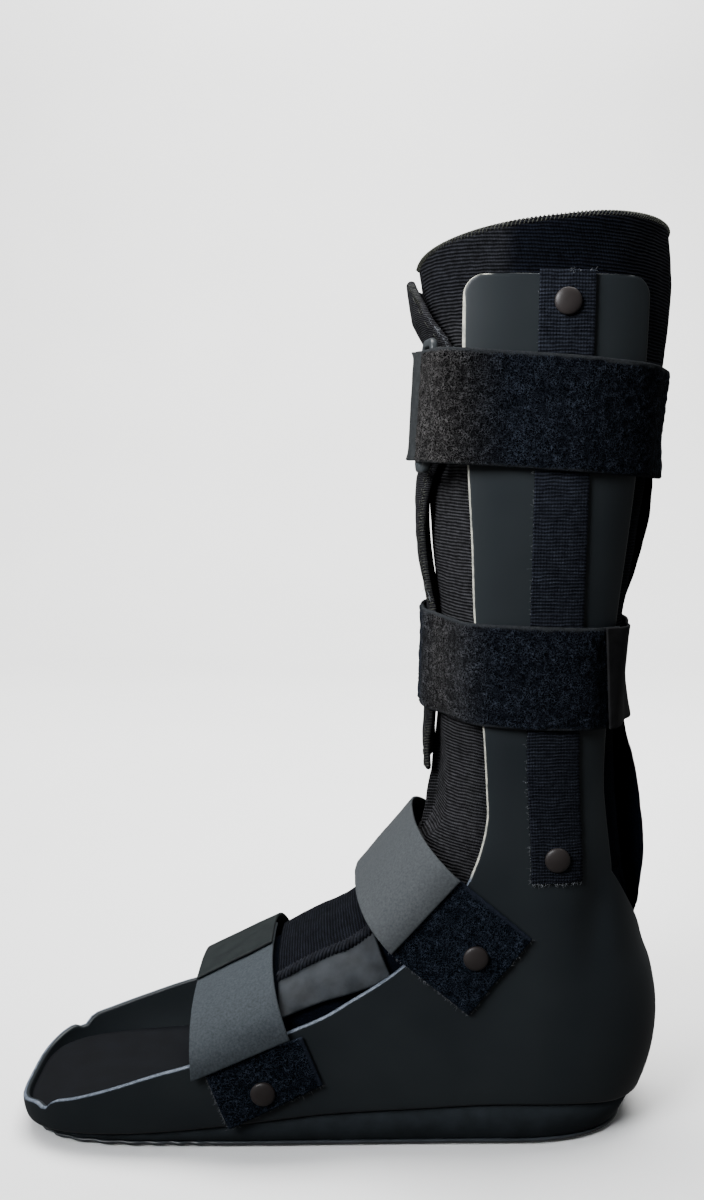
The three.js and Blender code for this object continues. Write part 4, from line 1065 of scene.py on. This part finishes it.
def instep_seam():
    """The thick serged seam between the tongue and the flap."""
    at = np.linspace(2.0, 4.55, 60)
    on = liner_point(at, np.radians(seam_angle + 0.5), lay + 2.6)
    under = liner_point(at, np.radians(seam_angle + 0.5), lay)
    out = on - under
    across = liner_point(at, np.radians(seam_angle - 2), lay + 2.6) - on
    return overlock(
        "instep_serging", on, out, across, 1.9, 2.3, 0.0, 2.1, 0.45, 0.95, seam_thread, per_turn=12
    )


instep_seam()


# The front flap

def flap_point(level, share, depth):
    """A point of the front flap: part of a superellipse round the calf, from its free to its sewn edge."""
    front = read(flap_sections, "front", level) * half_length
    free, sewn = (read(flap_sections, name, level) * calf_width / 2 for name in ("free", "sewn"))
    y = mix(free, sewn, share)
    half = calf_width / 2 - shell_wall - depth
    reach = (centre_x - front - depth) * (1 - np.abs(y / half) ** calf_power) ** (1 / calf_power)
    return np.stack(np.broadcast_arrays(centre_x - reach, y, level * upright_top), -1)


def make_flap():
    low, high = flap_sections[1][0][0], flap_sections[1][-1][0]
    level = mix(low, high, shares(243, 1.6, 1.5))[:, None]
    share = shares(66, 1.5, 1.5)[None]
    outer, inner = flap_point(level, share, 0), flap_point(level, share, flap_thickness)
    raised = 0.45 * noise(outer, 11) + 0.2 * noise(outer, 4, 5) - 0.25
    stitch_line = bell(edge_distance(outer), 3.0, 0.7) * (np.arange(outer.shape[1]) < 12)
    made = cloth("front_closing_flap", outer, inner, flap_knit, 1.6, raised=raised - 0.5 * stitch_line)
    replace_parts(made, "front_flap")
    edge = np.linspace(low + 0.004, high - 0.004, 160)
    face, behind = flap_point(edge, 0.015, 0), flap_point(edge, 0.015, flap_thickness)
    past = flap_point(edge, 0.0, flap_thickness / 2) - flap_point(edge, 0.05, flap_thickness / 2)
    middle = (face + behind) / 2
    winding = overlock(
        "flap_overlock", middle, face - behind, past, 1.75, 1.4, 0.75, 1.6, 0.3, 0.22, olive_thread
    )
    row = flap_point(edge, 0.06, -0.15)
    dashes = row[: 4 * (len(row) // 4)].reshape(-1, 4, 3)[:, :3]
    tubes("flap_stitches", dashes, 0.16, olive_thread)


make_flap()


# Straps round the calf

def strip_x(z):
    """The middle of a side strip at a height. It leans a little towards the toe above its foot."""
    turn = ease((z - strip_foot) / (0.17 * upright_top))
    return mix(0.633, 0.612, turn) * half_length


def under_strap(z):
    """Points, x and y, of everything that a strap goes round, for each of some heights."""
    z = np.atleast_1d(z).astype(float)[:, None]
    share = np.linspace(0, 1, 25)[None]
    x = mix(edge_x(z, "front"), edge_x(z, "back"), share)
    raised = np.where(np.abs(x - strip_x(z)) < strip_width / 2 + 1, lay + strip_thickness, 0)
    side = np.stack([x, half_width(x, z) + raised], -1)
    rows = np.array(liner_sections[1][13:])
    at = np.interp(z / upright_top, rows[:, 2], rows[:, 0])
    liner = liner_point(at, np.pi * share, 0)[..., :2]
    flap = flap_point(z / upright_top, share, 0)[..., :2]
    return np.concatenate([side, side * [1, -1], liner, liner * [1, -1], flap], axis=1)


directions = np.radians(np.arange(0, 360, 1.5))
table_z = np.linspace(0.49 * upright_top, 0.95 * upright_top, 60)
outwards = -np.stack([np.cos(directions), np.sin(directions)])
supports = ((under_strap(table_z) - [centre_x, 0]) @ outwards).max(axis=1)


def hull_reach(z, degrees):
    """How far the hull of what is wrapped reaches from the calf's centre: the least of its support lines."""
    place = np.clip((z - table_z[0]) / (table_z[1] - table_z[0]), 0, len(table_z) - 1.001)
    low = place.astype(int)
    support = mix(supports[low], supports[low + 1], (place - low)[..., None])
    cosine = np.cos(np.radians(degrees)[..., None] - directions)
    return np.where(cosine > 0.2, support / np.maximum(cosine, 0.2), np.inf).min(-1)


# A strap round the calf is worked out at stops, this many degrees apart
stop_degrees = 8
half_stop = stop_degrees / 2


def wrap_reach(z, degrees):
    """The hull's furthest reach within half a stop either side, so that a strap clears its corners."""
    z, degrees = np.broadcast_arrays(np.asarray(z, float), np.asarray(degrees, float))
    reaches = [hull_reach(z, degrees + away) for away in np.linspace(-half_stop, half_stop, 9)]
    return np.max(reaches, axis=0) / np.cos(np.radians(half_stop))


def around_calf(degrees, reach, z):
    angle = np.radians(degrees)
    return np.stack(np.broadcast_arrays(centre_x - reach * np.cos(angle), -reach * np.sin(angle), z), -1)


def tilt(front, back):
    """A strap's height round the calf: one at the front and one at the back, with a cosine between them."""
    return lambda degrees: mix(front, back, (1 - np.cos(np.radians(degrees))) / 2)


upper_level = tilt(0.868 * upright_top, 0.845 * upright_top)
lower_level = tilt(0.573 * upright_top, 0.561 * upright_top)

# The ring's frame: a plane that nothing under it crosses
ring_degrees = 37.0
bar_hold = np.hypot(ring_bar, ring_depth) / 2 + lay
bar_span = ring_width - ring_bar
ring_off = lay + strap_thickness + bar_hold
ring_low = upper_level(ring_degrees) - upper_strap_width / 2
ring_high = upper_level(ring_degrees) + upper_strap_width / 2


def on_hull(z, degrees):
    z, degrees = np.asarray(z, float), np.asarray(degrees, float)
    return around_calf(degrees, hull_reach(z, degrees), z)


ring_reach = hull_reach(np.asarray(upper_level(ring_degrees)), np.asarray(ring_degrees))
bar_degrees = np.degrees(bar_span / 2 / ring_reach)
bars = [on_hull(upper_level(ring_degrees), ring_degrees + side * bar_degrees) for side in (-1, 1)]
ring_across = unit(bars[1] - bars[0])[:2]
ring_out = np.array([ring_across[1], -ring_across[0]])
ring_plane = [(under_strap(z)[0] @ ring_out).max() for z in (ring_low, ring_high)]
ring_middle = [on_hull(z, ring_degrees)[:2] @ ring_across for z in (ring_low, ring_high)]


def ring_place(z, across, out):
    """A point of the ring's frame: how far across from between its bars, and how far out of its plane."""
    share = (z - ring_low) / upper_strap_width
    off = mix(*ring_plane, share) + out
    run = mix(*ring_middle, share) + across
    return np.concatenate([ring_across * run[..., None] + ring_out * off[..., None], z[..., None]], -1)


def looped_end(side, thickness, settled):
    """A strap's end round a bar of the ring: its tail lies under the bar, and it leaves over it. side is 1 at
    the rear bar and -1 at the front one."""
    bar = side * bar_span / 2
    bar_at = ring_degrees + side * bar_degrees

    def fold(across, out):
        def place(z, k):
            hold = bar_hold + k * thickness
            return ring_place(z, bar + across(hold), ring_off + out(hold))
        return {"degrees": bar_at, "fold": place}

    def away(degrees, skins):
        return {"degrees": bar_at + side * degrees, "skins": skins}

    under = ring_off - bar_hold
    tail = [away(degrees, [under, under - thickness]) for degrees in (13, 8)]
    turns = [
        fold(lambda hold, a=a: -side * hold * np.cos(a), lambda hold, a=a: hold * np.sin(a))
        for a in np.radians([-60, -20, 20, 60])
    ]
    leaving = []
    for degrees in (9, 15, 22, 30):
        off = mix(ring_off + bar_hold, settled, ease((degrees - 3) / 27))
        leaving.append(away(degrees, [off, off + thickness]))
    start = fold(lambda hold: side * bar_hold, lambda hold: -hold)
    end = fold(lambda hold: side * bar_hold, lambda hold: hold)
    return [*tail, start, *turns, end, *leaving]


def plain_stops(degrees, off, thickness):
    """Stops of a strap that lies at one distance from what it goes round."""
    return [{"degrees": d, "skins": [off, off + thickness]} for d in degrees]


def band(stops, level_at, width, step, edge, slant=0.0):
    """The outer and inner skin of a band round the calf. Its stops are worked out first, and a smooth curve
    is then carried through them. slant turns the first stop's edge."""
    share = shares(width, step, edge)
    skins = [[], []]
    for number, stop in enumerate(stops):
        turned = stop["degrees"] + (slant * (0.5 - share) if number == 0 else 0 * share)
        z = level_at(turned) + (share - 0.5) * width
        reach = None if "fold" in stop else wrap_reach(z, turned)
        for k in (0, 1):
            skin = stop["fold"](z, k) if reach is None else around_calf(turned, reach + stop["skins"][k], z)
            skins[k].append(skin)
    inner, outer = (np.stack(s) for s in skins)
    key = steps_between(outer[:, len(share) // 2])
    at = shares(key[-1], step, edge) * key[-1]
    return curve(key, outer, at).swapaxes(0, 1), curve(key, inner, at).swapaxes(0, 1)


def pile_height(points, amount, shift=0.0):
    """Curly clumps: three sizes of noise, the finest one the strongest."""
    fine, middle = noise(points, pile_clump, shift), noise(points, 2.3 * pile_clump, shift)
    return amount * (0.5 * fine + 0.35 * middle + 0.15 * noise(points, 9, shift))


def pile_sheet(name, outer, inner, material, selvedge, warm=0.0, amount=0.75, edge=1.0, shift=0.0):
    """A strap or patch of loop pile. selvedge is 1 where the pile gives way to a flat woven edge."""
    height = pile_height(outer, amount, shift)
    # tips dims the pile's curls where it sinks, as painted shade
    values = {
        "tips": np.clip(0.5 + height / amount, 0, 1), "selvedge": selvedge,
        "warm": np.broadcast_to(warm, selvedge.shape),
    }
    return cloth(name, outer, inner, material, edge, values=values, raised=mix(height, -0.25, selvedge))


over_strap = lay + strap_thickness + lay
upper_strap_end = 40 * stop_degrees
upper_tab_end = -10 * stop_degrees
lower_strap_end = 16 * stop_degrees


def row_place(grid):
    """How far up each row of a strap lies, and how far down from its top, in millimetres."""
    up = cloth_uv(grid)[..., 1]
    return up, up[-1:] - up


def make_pile_strap(name, node_name, stops, level_at, width, top, foot, foot_share, warm_x, shifts):
    """A pile strap round the calf. top and foot are the widths of its ragged woven edges and foot_share the
    strength of the lower one. In front of warm_x the near side's pile turns warm. shifts move its noises."""
    outer, inner = band(stops, level_at, width, 0.85, 1.0)
    up, down = row_place(outer)
    ragged = 0.6 * noise(outer, 5, shifts[0])
    selvedge = np.maximum(ease((top + ragged - down) / 0.8), foot_share * ease((foot + ragged - up) / 0.6))
    warm = ease((warm_x - outer[..., 0]) / 34) * ease((5 - outer[..., 1]) / 40)
    made = pile_sheet(name, outer, inner, strap_pile, selvedge, warm, shift=shifts[1])
    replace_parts(made, node_name)


def make_pile_straps():
    degrees = np.arange(10 * stop_degrees, upper_strap_end + 1, stop_degrees)
    stops = looped_end(1, strap_thickness, lay) + plain_stops(degrees, lay, strap_thickness)
    make_pile_strap(
        "upper_pile_strap", "calf_strap_upper", stops, upper_level, upper_strap_width,
        2.2, 1.2, 0.6, 78, (0, 0),
    )
    degrees = np.arange(-lower_strap_end, lower_strap_end + 1, stop_degrees)
    stops = plain_stops(degrees, lay, strap_thickness)
    make_pile_strap(
        "lower_pile_strap", "calf_strap_lower", stops, lower_level, lower_strap_width,
        1.8, 1.4, 0.7, 74, (9, 4),
    )


def make_calf_tabs():
    degrees = np.arange(-stop_degrees, upper_tab_end - 1, -stop_degrees)
    stops = looped_end(-1, tab_thickness, over_strap) + plain_stops(degrees, over_strap, tab_thickness)
    outer, inner = band(stops, upper_level, upper_strap_width, 1.7, 0.7)
    made = cloth("upper_loop_tab", outer, inner, loop_tab, 0.7, raised=0.15 * noise(outer, 7))
    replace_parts(made, "calf_tab_upper")

    start, end = lower_strap_end - stop_degrees, 360 - lower_strap_end + stop_degrees
    stops = []
    for degrees in np.arange(start, end + 1, stop_degrees):
        past = min(degrees - lower_strap_end, 360 - lower_strap_end - degrees)
        off = mix(over_strap, lay, ease(past / (3 * stop_degrees)))
        stops.append({"degrees": degrees, "skins": [off, off + tab_thickness]})
    outer, inner = band(stops, lower_level, lower_strap_width, 1.7, 0.7, slant=7)
    made = cloth("lower_hook_tab", outer, inner, warm_tab, 0.7, raised=0.2 * noise(outer, 9))
    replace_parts(made, "calf_tab_lower")


make_pile_straps()
make_calf_tabs()


def make_ring():
    """A flat frame: a squared section carried round a rounded rectangle."""
    corner = 0.3 * ring_width - ring_bar / 2
    half_w, half_h = (ring_width - ring_bar) / 2 - corner, (ring_height - ring_bar) / 2 - corner
    turn = np.concatenate([np.linspace(q, q + 90, 9) for q in (0, 90, 180, 270)])
    signs = np.repeat([[1, 1], [-1, 1], [-1, -1], [1, -1]], 9, axis=0)
    normal = np.stack([np.cos(np.radians(turn)), np.sin(np.radians(turn))], 1)
    path = signs * [half_w, half_h] + corner * normal
    around = np.linspace(0, 2 * np.pi, 20, endpoint=False)
    squared = [np.sign(f) * np.abs(f) ** 0.6 for f in (np.cos(around), np.sin(around))]
    flat = path[:, None] + normal[:, None] * (ring_bar / 2 * squared[0])[None, :, None]
    low, high = (ring_place(np.array(z), 0, ring_off) for z in (ring_low, ring_high))
    up = unit(high - low)
    out = unit(np.cross(np.append(ring_across, 0), up))
    across = np.cross(up, out)
    thick = (ring_depth / 2 * squared[1])[None, :, None] * out
    points = (low + high) / 2 + flat[..., :1] * across + flat[..., 1:] * up + thick
    made = piece("strap_ring", points, grid_faces(len(path), len(around), True, True), ring_plastic)
    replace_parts(made, "calf_ring")


make_ring()


# Straps over the foot

def between(line, share):
    """A place in the side view, x and z, a share of the way from a line's front end to its rear end."""
    (ax, az), (bx, bz) = line
    return mix(ax, bx, share) * half_length, mix(az, bz, share) * upright_top


def arch_point(strap, share, degrees, off):
    """A point of a strap that arches over the foot as a superellipse, from 0° on the near side to 180°."""
    angle = np.radians(degrees)
    (sx, sz), (cx, cz) = between(strap["side"], share), between(strap["crest"], share)
    length = np.hypot(cx - sx, cz - sz)
    rise = (length + off) / length * np.abs(np.sin(angle)) ** (2 / strap["power"])
    half = half_width(sx, sz) + lay + patch_thickness + lay + off
    y = -np.sign(np.cos(angle)) * half * np.abs(np.cos(angle)) ** (2 / strap["power"])
    return np.stack(np.broadcast_arrays(sx + (cx - sx) * rise, y, sz + (cz - sz) * rise), -1)


def arch_band(strap, start, end, off, thickness, width, length, step, edge):
    share = shares(width, step, edge)[:, None]
    degrees = mix(start, end, shares(length, step, edge))[None]
    return arch_point(strap, share, degrees, off + thickness), arch_point(strap, share, degrees, off)


def make_foot_tabs():
    tabs = [
        ("ankle_hook_tab", "ankle", 176, 240, 1.5, hook_tab, "ankle_tab"),
        ("forefoot_hook_tab", "forefoot", 104, 110, 1.3, dull_tab, "forefoot_tab"),
    ]
    for name, strap, end, length, step, material, node_name in tabs:
        outer, inner = arch_band(
            foot_straps[strap], 4, end, 0, tab_thickness, foot_strap_width, length, step, 0.75
        )
        raised = 0.25 * noise(outer, 12) + 0.1 * noise(outer, 4)
        made = cloth(name, outer, inner, material, 0.75, raised=raised)
        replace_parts(made, node_name)
    over_tab = tab_thickness + gap
    outer, inner = arch_band(
        foot_straps["forefoot"], 176, 84, over_tab, tab_thickness, foot_strap_width, 110, 1.3, 0.75
    )
    made = cloth("forefoot_smooth_strap", outer, inner, far_fabric, 0.75, raised=0.2 * noise(outer, 12))
    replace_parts(made, "forefoot_strap")


make_foot_tabs()


# Patches, strips and rivets on the shell's sides

def side_skins(side, x, z, thickness):
    """The outer and inner skin of a flat piece on the shell's side, over grids of x and z."""
    def skin(depth):
        return np.stack(np.broadcast_arrays(x, side * (half_width(x, z) + lay + depth), z), -1)

    return skin(thickness), skin(0)


def make_patch(name, strap, side, side_name):
    along, across = shares(62, 0.85, 1.0)[:, None], shares(44, 0.85, 1.0)[None]
    (ux, uz), (fx, fz) = between(strap["under"], across), between(strap["foot"], across)
    outer, inner = side_skins(side, mix(ux, fx, along), mix(uz, fz, along), patch_thickness)
    ragged = noise(outer, 4, 2)
    sideways = steps_between(outer)
    rear = sideways[:, -1:] - sideways
    rear_edge, front_edge = ease((2.0 + 0.5 * ragged - rear) / 0.7), ease((1.2 + ragged - sideways) / 0.7)
    selvedge = np.maximum(rear_edge, 0.35 * front_edge)
    made = pile_sheet(
        f"{name}_pile_{side_name}", outer, inner, patch_pile, selvedge, amount=0.8, shift=2.0 * side
    )
    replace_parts(made, f"{name}_patch_{side_name}")


def make_strip(side, side_name):
    """The ribbed strip up an upright: its ribs run across, its front edge is serrated by them."""
    along = shares(upright_top + strip_thickness - strip_foot, strip_rib / 4, 0.5)[:, None]
    across = shares(strip_width, 1.9, 0.6)[None]
    z = mix(strip_foot, upright_top + strip_thickness, along)
    worn = ease((0.72 * upright_top - z) / (0.3 * upright_top))
    wave = np.sin(2 * np.pi * z / strip_rib)
    fray = (0.35 + 0.5 * worn) * wave + 0.7 * worn * noise(np.stack([z, z, 0 * z], -1), 2.1)
    edge_share = 2 * np.abs(across - 0.5)
    x = strip_x(z) + (across - 0.5) * strip_width + 0.45 * fray * edge_share**6 * np.sign(across - 0.5)
    outer, inner = side_skins(side, x, z, strip_thickness)
    rib = 0.22 * wave + 0 * x + 0.12 * noise(outer, 2.2)
    uv = np.stack(np.broadcast_arrays((across - 0.5) * strip_width, z), -1)
    made = cloth(f"ribbed_strip_{side_name}", outer, inner, strip_tape, 0.6, raised=rib, uv=uv)
    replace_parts(made, f"side_strip_{side_name}")


rivets = {
    "strip_top": (strip_x(0.971 * upright_top), 0.971 * upright_top, strip_thickness),
    "strip_foot": (strip_x(strip_foot + rivet_head), strip_foot + rivet_head, strip_thickness),
}
for strap_name, strap in foot_straps.items():
    rivet_along, rivet_level = strap["rivet"]
    rivets[strap_name] = (rivet_along * half_length, rivet_level * upright_top, patch_thickness)


def make_rivet(name, side, side_name):
    """A domed head turned round its axis, with a short shank behind it."""
    x, z, holds = rivets[name]
    seat = lay + holds + gap
    turn = np.radians(np.linspace(0, 90, 12))[:-1]
    rim = rivet_rise / 4
    head = [(rivet_head / 2 * np.cos(t), rim + (rivet_rise - rim) * np.sin(t)) for t in turn]
    shank_radius, shank_length = 2.4, 1.5
    shank = [(1e-3, -shank_length), (shank_radius, -shank_length), (shank_radius, 0)]
    shank += [(rivet_head / 2 - 0.4, 0), (rivet_head / 2, 0.2)]
    profile = np.array([*shank, *head, (1e-3, rivet_rise)])
    around = np.linspace(0, 2 * np.pi, 36, endpoint=False)
    radius, height = profile[:, :1], profile[:, 1:]
    y = side * (half_width(x, z) + seat + height + 0 * around)
    points = np.stack([x + radius * np.cos(around), y, z + radius * np.sin(around)], -1)
    quads = grid_faces(len(profile), len(around), close_columns=True)
    made = piece(f"{name}_rivet_head_{side_name}", points, quads, rivet_metal)
    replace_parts(made, f"{name}_rivet_{side_name}")


def near_roots(x, z, off):
    """Points on the shell's near side, at a distance off its surface."""
    return np.stack([x, -(half_width(x, z) + off), z], 1)


def strip_fibres():
    """Fibres worked loose from the near strip's front edge, its cut foot and its top rear corner."""
    draw = np.random.default_rng(11)
    at_foot, on_edge, on_top = 60, 150, 26
    foot_z = strip_foot + np.zeros(at_foot)
    foot_x = strip_x(foot_z) + strip_width * draw.uniform(-0.5, 0.5, at_foot)
    edge_z = mix(strip_foot, upright_top, draw.uniform(0, 1, on_edge) ** 1.5)
    edge_at = strip_x(edge_z) - strip_width / 2
    top_z = upright_top + strip_thickness + draw.uniform(-1, 0, on_top)
    top_x = strip_x(top_z) + draw.uniform(0, strip_width / 2, on_top)
    x, z = np.concatenate([foot_x, edge_at, top_x]), np.concatenate([foot_z, edge_z, top_z])
    along = np.repeat([[0, 0, -1], [-1, 0, 0.2], [0.8, 0, 0.6]], [at_foot, on_edge, on_top], axis=0)
    roots = near_roots(x, z, lay + strip_thickness * 0.7)
    hairs("strip_fibres_near", roots, off_near_side, along, 1.7, 0.09, grey_thread, 5)


def patch_fibres(name, strap):
    """Fibres along the front and the foot edge of a patch on the near side."""
    draw = np.random.default_rng(23)
    count, front_count = 110, 70
    share = draw.uniform(0, 1, count)
    on_front = np.arange(count) < front_count
    across, along = np.where(on_front, 0, share), np.where(on_front, share, 1)
    (ux, uz), (fx, fz) = between(strap["under"], across), between(strap["foot"], across)
    x, z = mix(ux, fx, along), mix(uz, fz, along)
    roots = near_roots(x, z, lay + patch_thickness * 0.6)
    heading = np.where(on_front[:, None], [-0.75, 0, -0.6], [0.6, 0, -0.75])
    made = hairs(f"{name}_patch_fibres_near", roots, off_near_side, heading, 1.5, 0.09, grey_thread, 6)


def stray_threads():
    """Threads loose from the front flap: a tuft at its upper corner, and long ends between the straps."""
    count = 34
    level = np.random.default_rng(31).uniform(0.93, 0.965, count)
    along = np.tile([0.5, -0.5, -0.3], (count, 1))
    tuft = hairs("flap_tuft", flap_point(level, 0.0, 0.8), along, along, 3.2, 0.12, grey_thread, 8)
    roots = flap_point(np.array([0.645, 0.652, 0.66]), 0.0, 0.5)
    along = np.tile([0.1, -0.5, -0.8], (3, 1))
    hairs("flap_thread_ends", roots, along, along, 9.0, 0.14, grey_thread, 9)


off_near_side = np.array([0, -1, 0])
stray_threads()
strip_fibres()
for strap_name, strap in foot_straps.items():
    patch_fibres(strap_name, strap)
for side_name, side in {"near": -1, "far": 1}.items():
    for strap_name, strap in foot_straps.items():
        make_patch(strap_name, strap, side, side_name)
    make_strip(side, side_name)
    for rivet_name in rivets:
        make_rivet(rivet_name, side, side_name)


# The studio

def area_light(name, place, aim, size, power, colour, spread=180):
    """A soft square light at a place, turned to face another. spread is how wide its grid lets light out."""
    light = bpy.data.lights.new(name, "AREA")
    light.size = size
    light.energy = power
    light.color = linear(colour)[:3]
    light.spread = np.radians(spread)
    made = bpy.data.objects.new(name, light)
    made.location = place
    facing = mathutils.Vector(aim) - mathutils.Vector(place)
    made.rotation_euler = facing.to_track_quat("-Z", "Y").to_euler()
    bpy.context.scene.collection.objects.link(made)


area_light("cool_softbox", (-0.5, -0.62, 0.78), (0.06, 0, 0.42), 0.45, 4.6, "f2f4f8", spread=70)
area_light("side_softbox", (-1.4, -0.35, 0.55), (0, 0, 0.2), 0.7, 5, "f2f3f6")
area_light("overhead", (-0.35, 0.1, 1.5), (0, 0, 0.2), 1.0, 4, "ffffff")
area_light("wall_wash", (0, 0.6, 2.3), (0, 2.5, 0.5), 2.0, 230, "ffffff")

# Little light from anywhere else
world = bpy.data.worlds.new("dim_studio")
world.use_nodes = True
background = world.node_tree.nodes["Background"]
background.inputs["Color"].default_value = linear("f4f5f6")
background.inputs["Strength"].default_value = 0.16
bpy.context.scene.world = world


def make_backdrop():
    """A swept backdrop: the floor runs back, turns up in a quarter circle and ends as a wall. In metres."""
    front, sweep, top, half_wide = -1.5, 1.3, 4.5, 4.5
    turn = np.radians(np.linspace(0, 90, 33))
    y = np.concatenate([[front], sweep + sweep * np.sin(turn), [2 * sweep]])
    z = np.concatenate([[0], sweep * (1 - np.cos(turn)), [top]])
    x = np.array([-half_wide, half_wide])
    points = np.stack(np.broadcast_arrays(x[None], y[:, None], z[:, None]), -1).reshape(-1, 3)
    mesh = bpy.data.meshes.new("studio_backdrop")
    mesh.from_pydata(points.tolist(), [], grid_faces(len(y), 2).tolist())
    mesh.polygons.foreach_set("use_smooth", np.ones(len(mesh.polygons), bool))
    mesh.materials.append(plain("painted_backdrop", "f0f0ef", "f4f4f3", 0.9, 8, 0.01, cloud_mm=300))
    made = bpy.data.objects.new("studio_backdrop", mesh)
    # It is seen and takes shadows, but throws no light back, so that dark cloth stays dark
    made.visible_diffuse = False
    made.visible_glossy = False
    bpy.context.scene.collection.objects.link(made)


make_backdrop()

# The photo's camera: 0.6 m from the boot's axis on its near side, and above its middle
camera_data = bpy.data.cameras.new("photo_view")
camera_data.lens = 36
camera_data.sensor_width = 36
camera = bpy.data.objects.new("photo_view", camera_data)
camera.location = (0.006, -0.603, 0.3375)
camera.rotation_euler = (np.radians(83.3), 0, 0)
bpy.context.scene.collection.objects.link(camera)
bpy.context.scene.camera = camera
